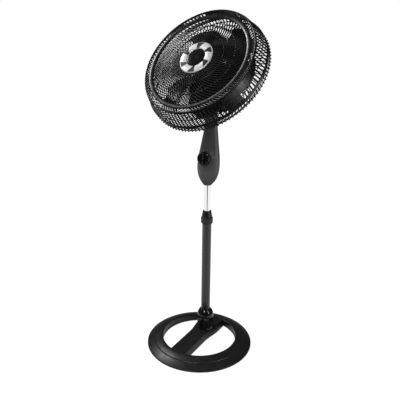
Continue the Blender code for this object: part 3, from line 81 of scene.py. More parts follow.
MARK_WIDTH = (13.0, 27.0)       # width of a mark at its inner and outer end, degrees
BLADES = 6
BLADE_TURN = 29.0               # how far the first blade is turned from the head's right, degrees
BLADE_SPAN = 50.0               # width of a blade, degrees
BLADE_SWEEP = 26.0              # how far a blade's tip is ahead of its root, degrees
BLADE_RISE = 0.0360             # height of a blade's leading edge above its trailing edge, at the root
BLADE_THICKNESS = 0.0018
BLADE_HUB = 0.0400
HUB_LENGTH = 0.0440
BOLT_BORE = 0.0043              # bores of the blade, its spinner and the hand nut
GRILLE_HUB = 0.0600             # flat middle of the front grille
BAND_DROP = 0.0140              # how far the smooth band lies behind it
CLEARANCE = 0.0003              # between pieces that fit into each other
RING_WIDTH = 0.0656             # base ring, from its edge to its opening
RING_EDGE = 0.0082              # height of the base's outer edge
BASE_WALL = 0.0030
NECK_WALL = 0.0025
COVER_WALL = 0.0022
COVER_DOME = 0.0320             # depth of the motor cover's dome
COVER_MOUTH = (-0.0760, 0.0300)  # the opening over the bracket, along the head's axis
MOUTH_HALF = 35.0               # and its half width in degrees


# ---------------------------------------------------------------- frames
class Place:
    """A piece's own frame: an origin and three directions, in the model's frame."""

    def __init__(self, origin, right, up, forward):
        self.origin = np.array(origin, float)
        self.turn = np.column_stack([right, up, forward])

    def world(self, points):
        """Points given along right, up and forward, moved to the model's frame."""
        return points @ self.turn.T + self.origin

    def local(self, points):
        """Points of the model's frame, seen from here."""
        return (points - self.origin) @ self.turn

    def shifted(self, right=0.0, up=0.0, forward=0.0):
        """The same directions from another origin."""
        origin = self.world(np.array([right, up, forward], float))
        return Place(origin, *self.turn.T)


def joint_place(name, forward, up):
    """Frame at a joint, from two of its directions."""
    right = np.cross(up, forward)
    right = right / np.linalg.norm(right)
    return Place(JOINTS[name]["pos_m"], right, np.cross(forward, right), forward)


WORLD = Place((0.0, 0.0, 0.0), (1, 0, 0), (0, 1, 0), (0, 0, 1))
HEAD = joint_place("rotor_spin", JOINTS["rotor_spin"]["axis"], JOINTS["swing"]["axis"])
KNOB = joint_place("speed_knob_turn", JOINTS["speed_knob_turn"]["axis"], (0.0, 0.0, 1.0))


def node_points(node, place=WORLD):
    """A CAD node's points, seen from a frame."""
    mesh = frame["nodes"][node].data
    points = np.empty(3 * len(mesh.vertices))
    mesh.vertices.foreach_get("co", points)
    return place.local(points.reshape(-1, 3))


def node_span(node, place=WORLD):
    """Lowest and highest reach along the frame's forward, and the largest radius about it."""
    points = node_points(node, place)
    return points[:, 2].min(), points[:, 2].max(), np.hypot(points[:, 0], points[:, 1]).max()


def half_width(node):
    """Radius of an upright round piece."""
    low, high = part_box(node)
    return 0.5 * (high.x - low.x)


SEAM_BACK, HUB_FRONT, SEAM_RADIUS = node_span("front_grille", HEAD)
HUB_FORWARD = HUB_FRONT - 0.0013
rim_points = node_points("front_grille", HEAD)
rim_points = rim_points[rim_points[:, 2] > HUB_FRONT - 0.015]
RIM_RADIUS = np.hypot(rim_points[:, 0], rim_points[:, 1]).max()
RIM_FORWARD = HUB_FORWARD - 0.0070
PLATE_FORWARD = node_span("rear_grille", HEAD)[0] + 0.0013
SEAM_WIRE = SEAM_RADIUS - 0.0013
wall_points = node_points("rear_grille", HEAD)
wall_points = wall_points[np.hypot(wall_points[:, 0], wall_points[:, 1]) > SEAM_RADIUS - 0.0005]
REAR_RING = wall_points[:, 2].min() - 0.0020


# ---------------------------------------------------------------- surfaces
def ease(value):
    """0 below 0, 1 above 1, and 3t^2 - 2t^3 between."""
    value = np.clip(value, 0.0, 1.0)
    return value * value * (3.0 - 2.0 * value)


def smooth_curve(places, values, at):
    """Cubic Hermite curve through points, with slopes from each point's two neighbours."""
    places, values = np.asarray(places, float), np.asarray(values, float)
    slopes = np.gradient(values, places)
    index = np.clip(np.searchsorted(places, at) - 1, 0, len(places) - 2)
    step = places[index + 1] - places[index]
    share = (at - places[index]) / step
    square, cube = share ** 2, share ** 3
    return ((2 * cube - 3 * square + 1) * values[index] + (3 * square - 2 * cube) * values[index + 1]
            + (cube - 2 * square + share) * step * slopes[index] + (cube - square) * step * slopes[index + 1])


def rounded(outline, radius, steps=4, closed=True):
    """An outline with each corner made a short parabola that starts and ends radius away from it."""
    points = np.asarray(outline, float)
    count = len(points)
    result = []
    for index in range(count):
        here, before, after = points[index], points[index - 1], points[(index + 1) % count]
        if not closed and index in (0, count - 1):
            result.append(here)
            continue
        back, ahead = before - here, after - here
        reach = min(radius, 0.45 * np.linalg.norm(back), 0.45 * np.linalg.norm(ahead))
        start = here + reach * back / np.linalg.norm(back)
        end = here + reach * ahead / np.linalg.norm(ahead)
        for share in np.linspace(0.0, 1.0, steps + 1):
            result.append((1 - share) ** 2 * start + 2 * share * (1 - share) * here + share ** 2 * end)
    return np.array(result)


def grid_faces(rows, columns, wrap_rows=False, wrap_columns=False):
    """Quads between the neighbours of a grid of points."""
    row, column = np.meshgrid(np.arange(rows if wrap_rows else rows - 1),
                              np.arange(columns if wrap_columns else columns - 1), indexing="ij")
    below, beside = (row + 1) % rows, (column + 1) % columns
    corners = (row * columns + column, below * columns + column, below * columns + beside,
               row * columns + beside)
    return np.stack(corners, -1).reshape(-1, 4)


def piece(name, points, faces, body, material, nodes=(), slot=None, smooth=38.0):
    """One mesh from points and quads: doubles merged, faces turned outwards, riding on its body."""
    mesh = bpy.data.meshes.new(name)
    mesh.from_pydata(np.asarray(points, float).reshape(-1, 3).tolist(), [], np.asarray(faces).tolist())
    work = bmesh.new()
    work.from_mesh(mesh)
    bmesh.ops.remove_doubles(work, verts=work.verts, dist=2e-6)
    bmesh.ops.dissolve_degenerate(work, edges=work.edges, dist=1e-7)
    bmesh.ops.recalc_face_normals(work, faces=work.faces)
    work.to_mesh(mesh)
    work.free()
    mesh.materials.append(material)
    mesh.shade_smooth()
    mesh.set_sharp_from_angle(angle=math.radians(smooth))
    thing = bpy.data.objects.new(name, mesh)
    bpy.context.scene.collection.objects.link(thing)
    if body is None:
        return thing
    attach(thing, body)
    if nodes:
        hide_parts(*nodes)
    return thing


def slot_of(node):
    """The record's material slot of a CAD node."""
    for part in frame["record"]["subparts"]:
        if part["node"] == node:
            return part["material_slot"]
    raise ValueError(node)


def joined(parts):
    """Several (points, faces) sets as one."""
    points, faces, start = [], [], 0
    for some_points, some_faces in parts:
        some_points = np.asarray(some_points, float).reshape(-1, 3)
        points.append(some_points)
        faces.append(np.asarray(some_faces) + start)
        start += len(some_points)
    return np.concatenate(points), np.concatenate(faces)


def turned(outline, sides, place=WORLD, closed=True, centre=(0.0, 0.0)):
    """A closed outline of (radius, height) revolved: x = r cos a, y = r sin a, z = height."""
    outline = np.asarray(outline, float)
    angle = math.tau * np.arange(sides) / sides
    radius, height = outline[:, :1], outline[:, 1:]
    points = np.stack([centre[0] + radius * np.cos(angle), centre[1] + radius * np.sin(angle),
                       height + 0.0 * angle], -1)
    return place.world(points.reshape(-1, 3)), grid_faces(len(outline), sides, closed, True)


def end_caps(corners, last):
    """Quads that close the first and the last ring of a swept section, last rows further on."""
    first = np.array([(i, i + 1, corners - 2 - i, corners - 1 - i) for i in range(corners // 2 - 1)])
    return np.concatenate([first, first[:, ::-1] + last * corners])


def swept(paths, sideways, depthways, section, loop=False):
    """A closed section carried along many paths at once: point = path + u * sideways + v * depthways."""
    count, steps = paths.shape[:2]
    section = np.asarray(section, float)
    corners = len(section)
    points = (paths[:, :, None] + section[None, None, :, :1] * sideways[:, :, None]
              + section[None, None, :, 1:] * depthways[:, :, None])
    one = grid_faces(steps, corners, loop, True)
    if not loop:
        one = np.concatenate([one, end_caps(corners, steps - 1)])
    faces = one[None] + (np.arange(count) * steps * corners)[:, None, None]
    return points.reshape(-1, 3), faces.reshape(-1, 4)


def bar_section(width, depth, corner=0.3):
    """Eight-cornered section of a moulded rib."""
    half, deep = 0.5 * width, 0.5 * depth
    cut = corner * min(half, deep)
    return [(half, -deep + cut), (half, deep - cut), (half - cut, deep), (-half + cut, deep),
            (-half, deep - cut), (-half, -deep + cut), (-half + cut, -deep), (half - cut, -deep)]


def polar(radius, angle, forward):
    """Points about the head's axis."""
    radius, angle, forward = np.broadcast_arrays(radius, angle, forward)
    return np.stack([radius * np.cos(angle), radius * np.sin(angle), forward], -1)


def ribs(count, radius, forward, lean, section, place=None, depth="forward"):
    """Many alike ribs: the path is (radius, forward) along t, turned by lean, and copied round the axis.

    The section's first direction is across the rib. Its second is along the axis, or for depth
    "normal" square to the rib's own surface of revolution.
    """
    turns = math.tau * np.arange(count)[:, None] / count
    paths = polar(radius[None], turns + lean[None], forward[None])
    along = np.gradient(paths, axis=1)
    along /= np.linalg.norm(along, axis=-1, keepdims=True)
    outwards = polar(np.ones_like(radius)[None], turns + lean[None], 0.0)
    if depth == "forward":
        deep = np.zeros_like(paths)
        deep[..., 2] = 1.0
    else:
        slope = np.stack([np.gradient(radius), np.gradient(forward)], -1)
        slope /= np.linalg.norm(slope, axis=-1, keepdims=True)
        deep = -slope[None, :, 1:] * outwards
        deep[..., 2] += slope[None, :, 0]
    across = np.cross(deep, along)
    across /= np.linalg.norm(across, axis=-1, keepdims=True)
    deep = np.cross(along, across)
    points, faces = swept(paths, across, deep, section)
    return (place or HEAD).world(points), faces


def hoop(radius, forward, width, depth, sides=160, place=None, corner=0.35):
    """A ring with a rounded rectangular section: width across the radius, depth along the axis."""
    half, deep = 0.5 * width, 0.5 * depth
    outline = rounded([(radius + half, forward - deep), (radius + half, forward + deep),
                       (radius - half, forward + deep), (radius - half, forward - deep)],
                      corner * min(width, depth), 3)
    return turned(outline, sides, place or HEAD)


def walled(outer, inner, keep=None, wrap=False):
    """A plate between two grids of points, with walls round its edges and round every hole left by keep."""
    rows, columns = outer.shape[:2]
    cells = (rows - 1, columns if wrap else columns - 1)
    keep = np.ones(cells, bool) if keep is None else keep
    faces = grid_faces(rows, columns, False, wrap).reshape(*cells, 4)
    shift = rows * columns
    parts = [faces[keep], faces[keep][:, ::-1] + shift]
    padded = np.pad(keep, 1, mode="constant")
    if wrap:
        padded[:, 0], padded[:, -1] = padded[:, -2], padded[:, 1]
    neighbours = ((padded[1:-1, :-2], 0, 1), (padded[2:, 1:-1], 1, 2),
                  (padded[1:-1, 2:], 2, 3), (padded[:-2, 1:-1], 3, 0))
    for beside, first, last in neighbours:
        edge = faces[keep & ~beside]
        parts.append(np.stack([edge[:, last], edge[:, first], edge[:, first] + shift,
                               edge[:, last] + shift], -1))
    return np.concatenate([outer.reshape(-1, 3), inner.reshape(-1, 3)]), np.concatenate(parts)


# ---------------------------------------------------------------- materials
def finish(name, colour, roughness, metallic=0.0, variation=0.25, spread=0.06, grain=900.0,
           bump=0.15, coat=0.0, patch=35.0):
    """A Principled finish: slow patches in the colour, fine grain in roughness and height."""
    material = bpy.data.materials.new(name)
    material.use_nodes = True
    nodes, links = material.node_tree.nodes, material.node_tree.links
    shader = nodes["Principled BSDF"]
    shader.inputs["Metallic"].default_value = metallic
    shader.inputs["Coat Weight"].default_value = coat
    shader.inputs["Coat Roughness"].default_value = 0.08
    place = nodes.new("ShaderNodeTexCoord")
    slow = nodes.new("ShaderNodeTexNoise")
    slow.inputs["Scale"].default_value = patch
    slow.inputs["Detail"].default_value = 3.0
    fine = nodes.new("ShaderNodeTexNoise")
    fine.inputs["Scale"].default_value = grain
    fine.inputs["Detail"].default_value = 2.0
    links.new(place.outputs["Object"], slow.inputs["Vector"])
    links.new(place.outputs["Object"], fine.inputs["Vector"])
    mix = nodes.new("ShaderNodeMix")
    mix.data_type = "RGBA"
    mix.inputs["A"].default_value = (*[c * (1.0 - variation) for c in colour], 1.0)
    mix.inputs["B"].default_value = (*[min(1.0, c * (1.0 + variation)) for c in colour], 1.0)
    links.new(slow.outputs["Fac"], mix.inputs["Factor"])
    links.new(mix.outputs["Result"], shader.inputs["Base Color"])
    rough = nodes.new("ShaderNodeMapRange")
    rough.inputs["From Min"].default_value = 0.3
    rough.inputs["From Max"].default_value = 0.7
    rough.inputs["To Min"].default_value = max(0.02, roughness - spread)
    rough.inputs["To Max"].default_value = min(1.0, roughness + spread)
    links.new(slow.outputs["Fac"], rough.inputs["Value"])
    links.new(rough.outputs["Result"], shader.inputs["Roughness"])
    raised = nodes.new("ShaderNodeBump")
    raised.inputs["Strength"].default_value = bump
    raised.inputs["Distance"].default_value = 0.0002
    links.new(fine.outputs["Fac"], raised.inputs["Height"])
    links.new(raised.outputs["Normal"], shader.inputs["Normal"])
    return material


def embossed(material, low, high, pitch):
    """Adds a cross-hatched relief between two heights: the product of two slanting sine waves."""
    nodes, links = material.node_tree.nodes, material.node_tree.links
    place = nodes.new("ShaderNodeTexCoord")
    heights = []
    for turn in (45.0, -45.0):
        mapping = nodes.new("ShaderNodeMapping")
        mapping.inputs["Rotation"].default_value = (0.0, math.radians(turn), 0.0)
        wave = nodes.new("ShaderNodeTexWave")
        wave.bands_direction = "X"
        wave.inputs["Scale"].default_value = math.tau / (20.0 * pitch)
        links.new(place.outputs["Object"], mapping.inputs["Vector"])
        links.new(mapping.outputs["Vector"], wave.inputs["Vector"])
        heights.append(wave)
    hatch = nodes.new("ShaderNodeMath")
    hatch.operation = "MULTIPLY"
    links.new(heights[0].outputs["Fac"], hatch.inputs[0])
    links.new(heights[1].outputs["Fac"], hatch.inputs[1])
    split = nodes.new("ShaderNodeSeparateXYZ")
    links.new(place.outputs["Object"], split.inputs["Vector"])
    mask = nodes.new("ShaderNodeMapRange")
    mask.inputs["From Min"].default_value = high
    mask.inputs["From Max"].default_value = low
    links.new(split.outputs["Z"], mask.inputs["Value"])
    depth = nodes.new("ShaderNodeMath")
    depth.operation = "MULTIPLY"
    links.new(hatch.outputs["Value"], depth.inputs[0])
    links.new(mask.outputs["Result"], depth.inputs[1])
    raised = nodes.new("ShaderNodeBump")
    raised.inputs["Strength"].default_value = 0.9
    raised.inputs["Distance"].default_value = 0.0006
    links.new(depth.outputs["Value"], raised.inputs["Height"])
    shader = nodes["Principled BSDF"]
    before = shader.inputs["Normal"].links[0].from_socket
    links.new(before, raised.inputs["Normal"])
    links.new(raised.outputs["Normal"], shader.inputs["Normal"])


SATIN = finish("satin_black_plastic", (0.010, 0.010, 0.011), 0.34, grain=1400.0, bump=0.12)
BASE_BLACK = finish("base_black_plastic", (0.013, 0.013, 0.014), 0.36, grain=1100.0, bump=0.16)
CAGE = finish("cage_black_plastic", (0.009, 0.009, 0.010), 0.27, grain=1600.0, bump=0.08)
GLOSS = finish("gloss_black_plastic", (0.007, 0.007, 0.008), 0.14, spread=0.03, bump=0.03)
BLADE = finish("blade_gloss_plastic", (0.012, 0.012, 0.013), 0.22, spread=0.04, bump=0.03)
NECK = finish("neck_grey_plastic", (0.105, 0.105, 0.108), 0.46, grain=2200.0, bump=0.22)
embossed(NECK, 0.722, 0.734, 0.0042)
PANEL = finish("panel_grey_plastic", (0.098, 0.098, 0.101), 0.44, grain=2200.0, bump=0.2)
TUBE = finish("tube_black_paint", (0.010, 0.010, 0.011), 0.26, spread=0.04, grain=700.0, bump=0.1, coat=0.3)
CHROME = finish("mast_chrome", (0.86, 0.86, 0.87), 0.07, 1.0, 0.03, 0.02, 300.0, 0.01)
STEEL = finish("zinc_steel", (0.60, 0.60, 0.61), 0.30, 1.0, 0.12, 0.08, 500.0, 0.08)
CASTING = finish("cast_aluminium_grey", (0.50, 0.51, 0.52), 0.46, 1.0, 0.15, 0.08, 450.0, 0.35)
IRON = finish("ballast_iron", (0.10, 0.10, 0.10), 0.70, 0.4, 0.3, 0.1, 350.0, 0.5)
NYLON = finish("natural_nylon", (0.70, 0.68, 0.62), 0.48, bump=0.05)
BRONZE = finish("sintered_bronze", (0.60, 0.43, 0.20), 0.45, 1.0, 0.15, 0.08, 900.0, 0.2)
COPPER = finish("enamelled_copper", (0.58, 0.25, 0.10), 0.35, 1.0, 0.2, 0.08, 420.0, 0.8)
RUBBER = finish("black_rubber", (0.020, 0.020, 0.020), 0.82, bump=0.3)
SILVER = finish("badge_silver_paint", (0.78, 0.78, 0.79), 0.34, 0.25, 0.05, 0.05, 1200.0, 0.05)
MARK = finish("mark_dark_plastic", (0.012, 0.012, 0.013), 0.30, bump=0.05)
PRINT = finish("pale_print", (0.60, 0.60, 0.60), 0.55, variation=0.08, bump=0.05)

SLOT_FINISHES = {
    "black_plastic": SATIN, "grille_black": CAGE, "gloss_black": GLOSS, "neck_grey": NECK,
    "tube_paint": TUBE, "chrome": CHROME, "steel": STEEL, "cast_aluminium": CASTING, "cast_iron": IRON,
    "nylon": NYLON, "bronze": BRONZE, "copper": COPPER, "rubber": RUBBER, "badge_silver": SILVER,
}


def dress_nodes():
    """Gives every CAD node its slot's finish."""
    for name, thing in frame["nodes"].items():
        for place in thing.material_slots:
            place.material = SLOT_FINISHES[slot_of(name)]


# ---------------------------------------------------------------- base
def base_ring_centre():
    """Middle of the base ring, from its cover plate."""
    low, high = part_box("ring_plate")
    return 0.5 * (low.x + high.x), 0.5 * (low.y + high.y)


def base_pieces():
    """Ring with its ridge, groove and lip, and the cross bar that carries the column."""
    low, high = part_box("base_shell")
    centre = base_ring_centre()
    outer = 0.5 * (high.y - low.y)
    inner = outer - RING_WIDTH
    floor, top, wall = low.z, high.z, BASE_WALL
    slope = outer - inner
    drop = np.linspace(0.0, 1.0, 26)
    span = inner + 0.0058 + (slope - 0.0070) * drop
    groove = outer - GROOVE_IN
    near = np.sort(np.concatenate([span, groove + np.linspace(-0.0026, 0.0026, 9)]))
    heights = top - (top - RING_EDGE) * ((near - span[0]) / (span[-1] - span[0])) ** 1.45
    heights -= 0.0012 * np.exp(-((near - groove) / 0.0011) ** 2)
    face = np.stack([near, heights], -1)
    lip = rounded([(outer - 0.0018, 0.0080), (outer, 0.0066), (outer, floor), (outer - wall, floor),
                   (outer - wall, 0.0052)], 0.0007, 3, False)
    under = np.stack([span[::-3], top - wall - (top - RING_EDGE - CLEARANCE) * drop[::-3] ** 1.45], -1)
    back = rounded([(inner + wall, top - wall - 0.002), (inner + wall, floor), (inner, floor),
                    (inner, top - 0.0006), (inner + 0.0030, top + 0.0002)], 0.0016, 5, False)
    outline = np.concatenate([face, lip, under, back])
    points, faces = turned(outline, 200, WORLD, True, centre)
    piece("base_ring", points, faces, "base", BASE_BLACK, ["base_shell"])
    bar_top = top - 0.0034
    cross_bar(centre, inner, floor, bar_top, wall)


def cross_bar(centre, ring_inner, floor, top, wall):
    """Hollow bar: a rounded channel section whose sides widen towards the column and the floor."""
    reach = math.sqrt((ring_inner + 0.0015) ** 2 - 0.03 ** 2)
    along = np.linspace(centre[1] - reach - 0.004, centre[1] + reach + 0.004, 60)
    stations = []
    for y in along:
        flare = 0.0120 * float(ease((y + 0.060) / 0.100))
        left, right, foot = -0.0400 - flare, 0.0250 + flare, 0.0100
        limit = math.sqrt(max(0.0, (ring_inner + 0.0020) ** 2 - (y - centre[1]) ** 2))
        section = rounded([(left - foot, floor), (left, top), (right, top), (right + foot, floor),
                           (right + foot - wall, floor), (right - wall, top - wall),
                           (left + wall, top - wall), (left - foot + wall, floor)], 0.0032, 5)
        across = np.clip(section[:, 0], centre[0] - limit, centre[0] + limit)
        stations.append(np.stack([across, np.full(len(section), y), section[:, 1]], -1))
    points = np.array(stations)
    faces = grid_faces(len(points), points.shape[1], False, True)
    faces = np.concatenate([faces, end_caps(points.shape[1], len(points) - 1)])
    piece("cross_bar", points, faces, "base", BASE_BLACK, ["base_shell"])


def foot_dome():
    """Turned dome with a shoulder, a waist and a lip that stands on the bar."""
    low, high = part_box("foot_dome")
    radius = half_width("foot_dome")
    bore = half_width("outer_tube") + CLEARANCE
    top, foot = high.z, low.z
    outer = rounded([(bore, top - 0.0005), (bore + 0.0028, top - 0.0008), (0.83 * radius, top - 0.0105),
                     (0.96 * radius, top - 0.0220), (radius, top - 0.0390), (0.975 * radius, top - 0.0580),
                     (0.90 * radius, foot + 0.0135), (0.875 * radius, foot + 0.0085),
                     (0.90 * radius, foot + 0.0062), (0.905 * radius, foot), (0.83 * radius, foot)],
                    0.0070, 6, False)
    inner = [(0.83 * radius, foot + 0.0080), (0.91 * radius, top - 0.0560), (0.92 * radius, top - 0.0390),
             (0.86 * radius, top - 0.0240), (bore, top - 0.0100)]
    points, faces = turned(np.concatenate([outer, inner]), 96)
    piece("foot_cover", points, faces, "base", GLOSS, ["foot_dome"])


# ---------------------------------------------------------------- column
def tube_piece(name, node, body, material, wall):
    """A round tube with softened ends, where the CAD tube is."""
    low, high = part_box(node)
    radius = half_width(node)
    inner = radius - wall
    outline = rounded([(radius, low.z), (radius, low.z + 0.002), (radius, high.z - 0.002), (radius, high.z),
                       (inner, high.z), (inner, high.z - 0.002), (inner, low.z + 0.002), (inner, low.z)],
                      0.0004, 2)
    points, faces = turned(outline, 96)
    piece(name, points, faces, body, material, [node])


def collar_pieces():
    """Tapered collet cone and the ribbed nut under it."""
    low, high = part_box("height_nut")
    radius, height = half_width("height_nut"), high.z - low.z
    turns = 36
    angle = math.tau * np.arange(12 * turns) / (12 * turns)
    rib = 0.00055 * (0.5 + 0.5 * np.cos(turns * angle)) ** 2
    share = np.array([0.0, 0.02, 0.06, 0.10, 0.14, 0.5, 0.86, 0.90, 0.94, 0.98, 1.0])
    inset = np.array([0.0022, 0.0010, 0.0003, 0.0, 0.0, 0.0, 0.0, 0.0, 0.0003, 0.0010, 0.0022])
    fade = np.array([0.0, 0.0, 0.0, 0.3, 1.0, 1.0, 1.0, 0.3, 0.0, 0.0, 0.0])
    reach = (radius - 0.0006 - inset)[:, None] + fade[:, None] * rib
    levels = (low.z + share * height)[:, None]
    outer = np.stack([reach * np.cos(angle), reach * np.sin(angle), levels + 0.0 * angle], -1)
    bore_low = half_width("outer_tube") + CLEARANCE
    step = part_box("outer_tube")[1].z + CLEARANCE
    bore = [(0.0163, high.z), (0.0163, step), (bore_low, step), (bore_low, low.z)]
    inner = np.array([np.stack([r * np.cos(angle), r * np.sin(angle), z + 0.0 * angle], -1) for r,
                      z in bore])
    points = np.concatenate([outer, inner])
    piece("collar_nut", points, grid_faces(len(points), len(angle), True, True), "height_ring", SATIN,
          ["height_nut"])
    low_cone = high.z + CLEARANCE
    bottom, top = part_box("collet")[0].z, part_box("collet")[1].z
    mast = half_width("mast") + CLEARANCE
    outline = rounded([(mast, top), (0.0164, top), (0.0176, top - 0.0025), (0.0212, low_cone + 0.0035),
                       (0.0218, low_cone), (0.0160, low_cone), (0.0160, step - 0.0003),
                       (0.0168, step - 0.0006),
                       (0.0168, bottom), (mast, bottom)], 0.0010, 4)
    points, faces = turned(outline, 96)
    piece("collet_cone", points, faces, "base", SATIN, ["collet"])


# ---------------------------------------------------------------- neck
def neck_profile():
    """Heights, centre, half width and half depth of the neck, read from the CAD shells."""
    front, back = node_points("neck_front"), node_points("neck_back")
    rows = []
    for height in np.unique(np.round(front[:, 2], 5)):
        near = front[np.abs(front[:, 2] - height) < 2e-5]
        far = back[np.abs(back[:, 2] - height) < 2e-5]
        if min(len(near), len(far)) < 12:
            continue
        centre = 0.5 * (near[:, 1].min() + far[:, 1].max())
        deep = 0.5 * (far[:, 1].max() - near[:, 1].min())
        lift = (near[:, 1] - centre) / deep
        edge = np.abs(lift) < 0.3
        wide = (np.abs(near[edge, 0]) / np.sqrt(1.0 - lift[edge] ** 2)).max()
        rows.append((height, centre, wide, deep))
    return np.array(rows).T


NECK_ROWS = neck_profile()


def neck_point(angle, height, offset):
    """Point of the neck's oval at an angle and height, moved out by offset."""
    centre = smooth_curve(NECK_ROWS[0], NECK_ROWS[1], height)
    wide = smooth_curve(NECK_ROWS[0], NECK_ROWS[2], height) + offset
    deep = smooth_curve(NECK_ROWS[0], NECK_ROWS[3], height) + offset
    return np.stack([wide * np.cos(angle), centre + deep * np.sin(angle), height + 0.0 * angle], -1)


def neck_shell(name, node, first, last):
    """Half of the neck: an oval that follows the CAD sections, its edges rolled in at the seam."""
    heights = np.linspace(NECK_ROWS[0][0], NECK_ROWS[0][-1], 150)[:, None]
    angle = np.linspace(first, last, 300)[None]
    edge = np.minimum(angle - first, last - angle) * 0.03
    low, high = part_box("control_panel")
    beside = np.abs(angle - math.radians(270.0)) - panel_half(heights) - 0.035
    groove = 0.0020 * np.exp(-(0.045 * beside / 0.0011) ** 2) * ease((heights - low.z + 0.004) / 0.006)
    groove = groove * ease((high.z + 0.040 - heights) / 0.010)
    seam = 0.0008 * (1.0 - ease(edge / 0.0012))
    ends = np.minimum(heights - heights.min(), heights.max() - heights)
    roll = 0.0008 * (1.0 - ease(ends / 0.0015))
    outer = neck_point(angle, heights, -np.maximum(np.maximum(seam, roll), groove))
    inner = neck_point(angle, heights, -NECK_WALL + 0.0 * angle)
    points, faces = walled(outer, inner)
    piece(name, points, faces, "neck", NECK, [node])


def panel_half(height):
    """Half angle of the front panel at a height: pointed at the bottom, widest at the knob."""
    low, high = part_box("control_panel")
    share = (height - low.z) / (high.z - low.z)
    opening = math.radians(46.0) * np.sqrt(np.clip(share / 0.30, 0.0, 1.0))
    return np.maximum(math.radians(2.0), opening - math.radians(15.0) * ease((share - 0.36) / 0.5))


def front_panel():
    """Raised panel: a patch of the neck's oval whose rim falls away in a quarter round."""
    low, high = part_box("control_panel")
    heights = low.z + (high.z - low.z) * np.linspace(0.0, 1.0, 90)[:, None] ** 1.15
    share = np.linspace(-1.0, 1.0, 49)[None]
    share = np.sign(share) * (1.0 - (1.0 - np.abs(share)) ** 1.5)
    half = panel_half(heights)
    angle = math.radians(270.0) + half * share
    side = half * (1.0 - np.abs(share)) * 0.035
    ends = np.minimum(heights - low.z, high.z - heights)
    inside = np.minimum(side, ends)
    rise = 0.0006 + 0.0012 * np.sqrt(np.clip(1.0 - (1.0 - np.clip(inside / 0.0016, 0.0, 1.0)) ** 2, 0.0,
                                             1.0))
    outer = neck_point(angle, heights, rise)
    inner = neck_point(angle, heights, 0.0003 + 0.0 * rise)
    points, faces = walled(outer, inner)
    piece("front_panel", points, faces, "neck", PANEL, ["control_panel"])


def index_marks():
    """Five short printed strokes round the knob, laid on the panel."""
    knob_radius = node_span("speed_knob", KNOB)[2]
    parts = []
    for turn in (150.0, 115.0, 80.0, 45.0, 10.0):
        angle = math.radians(turn)
        along = np.linspace(knob_radius + 0.0035, knob_radius + 0.0085, 8)[:, None]
        across = np.linspace(-0.0007, 0.0007, 4)[None]
        right = along * math.cos(angle) - across * math.sin(angle)
        up = along * math.sin(angle) + across * math.cos(angle)
        flat = KNOB.world(np.stack([right, up, 0.0 * right], -1))
        centre = smooth_curve(NECK_ROWS[0], NECK_ROWS[1], flat[..., 2])
        wide = smooth_curve(NECK_ROWS[0], NECK_ROWS[2], flat[..., 2]) + 0.0018
        deep = smooth_curve(NECK_ROWS[0], NECK_ROWS[3], flat[..., 2]) + 0.0018
        front = centre - deep * np.sqrt(np.clip(1.0 - (flat[..., 0] / wide) ** 2, 0.0, 1.0))
        outer = np.stack([flat[..., 0], front - 0.00015, flat[..., 2]], -1)
        inner = outer + np.array([0.0, 0.0006, 0.0])
        parts.append(walled(outer, inner))
    points, faces = joined(parts)
    piece("index_marks", points, faces, "neck", PRINT, (), "neck_grey")


def knob_pieces():
    """Knob: a fluted cup with a dished face, a waisted grip bar and a pointer line."""
    low, high, radius = node_span("speed_knob", KNOB)
    face = high - 0.0060
    flutes = 40
    angle = math.tau * np.arange(8 * flutes) / (8 * flutes)
    groove = 0.0004 * (0.5 - 0.5 * np.cos(flutes * angle))
    outline = rounded([(radius, low), (radius, face - 0.0040), (radius - 0.0012, face - 0.0010),
                       (radius - 0.0038, face), (radius - 0.0052, face - 0.0012),
                       (0.4 * radius, face - 0.0022),
                       (0.0, face - 0.0024), (0.0, low + 0.0040), (radius - 0.0030, low + 0.0040),
                       (radius - 0.0030, low)], 0.0012, 4)
    flat = (outline[:, 1] < face - 0.0045) & (outline[:, 0] > radius - 0.0002)
    reach = outline[:, :1] - np.where(flat, 1.0, 0.0)[:, None] * groove
    points = np.stack([reach * np.cos(angle), reach * np.sin(angle), outline[:, 1:] + 0.0 * angle], -1)
    faces = grid_faces(len(outline), len(angle), True, True)
    cup = (KNOB.world(points.reshape(-1, 3)), faces)
    grip_length = radius - 0.0042
    along = np.linspace(-1.0, 1.0, 33)
    width = 0.0042 + 0.0018 * np.abs(along) ** 3
    end = np.sqrt(np.clip(1.0 - np.abs(along) ** 14, 0.02, 1.0))
    section = np.array(rounded([(1.0, 0.0), (0.82, 1.0), (-0.82, 1.0), (-1.0, 0.0)], 0.35, 5))
    depth = high - (face - 0.0020)
    points = np.stack([section[None, :, 0] * (width * end)[:, None],
                       grip_length * along[:, None] + 0.0 * section[None, :, 0],
                       face - 0.0020 + section[None, :, 1] * depth * (0.86 + 0.14 * end)[:, None]], -1)
    faces = grid_faces(len(along), len(section), False, True)
    faces = np.concatenate([faces, end_caps(len(section), len(along) - 1)])
    grip = (KNOB.world(points.reshape(-1, 3)), faces)
    points, faces = joined([cup, grip])
    piece("knob_cap", points, faces, "knob", GLOSS, ["speed_knob"])
    across, line = np.meshgrid([-0.0006, 0.0006], np.linspace(0.35, 0.90, 8) * grip_length)
    outer = np.stack([across, line, 0.0 * line + high - 0.00002], -1)
    points, faces = walled(outer, outer - np.array([0.0, 0.0, 0.0006]))
    piece("knob_pointer", KNOB.world(points), faces, "knob", PRINT, (), "gloss_black")


# ---------------------------------------------------------------- cage
def front_rise(radius):
    """The front grille's surface: HUB_FORWARD - BAND_DROP * s^2.2, s being 0 at the hub and 1 at the band."""
    share = np.clip((radius - GRILLE_HUB) / (BAND_INNER - GRILLE_HUB), 0.0, None)
    return HUB_FORWARD - BAND_DROP * share ** 2.2


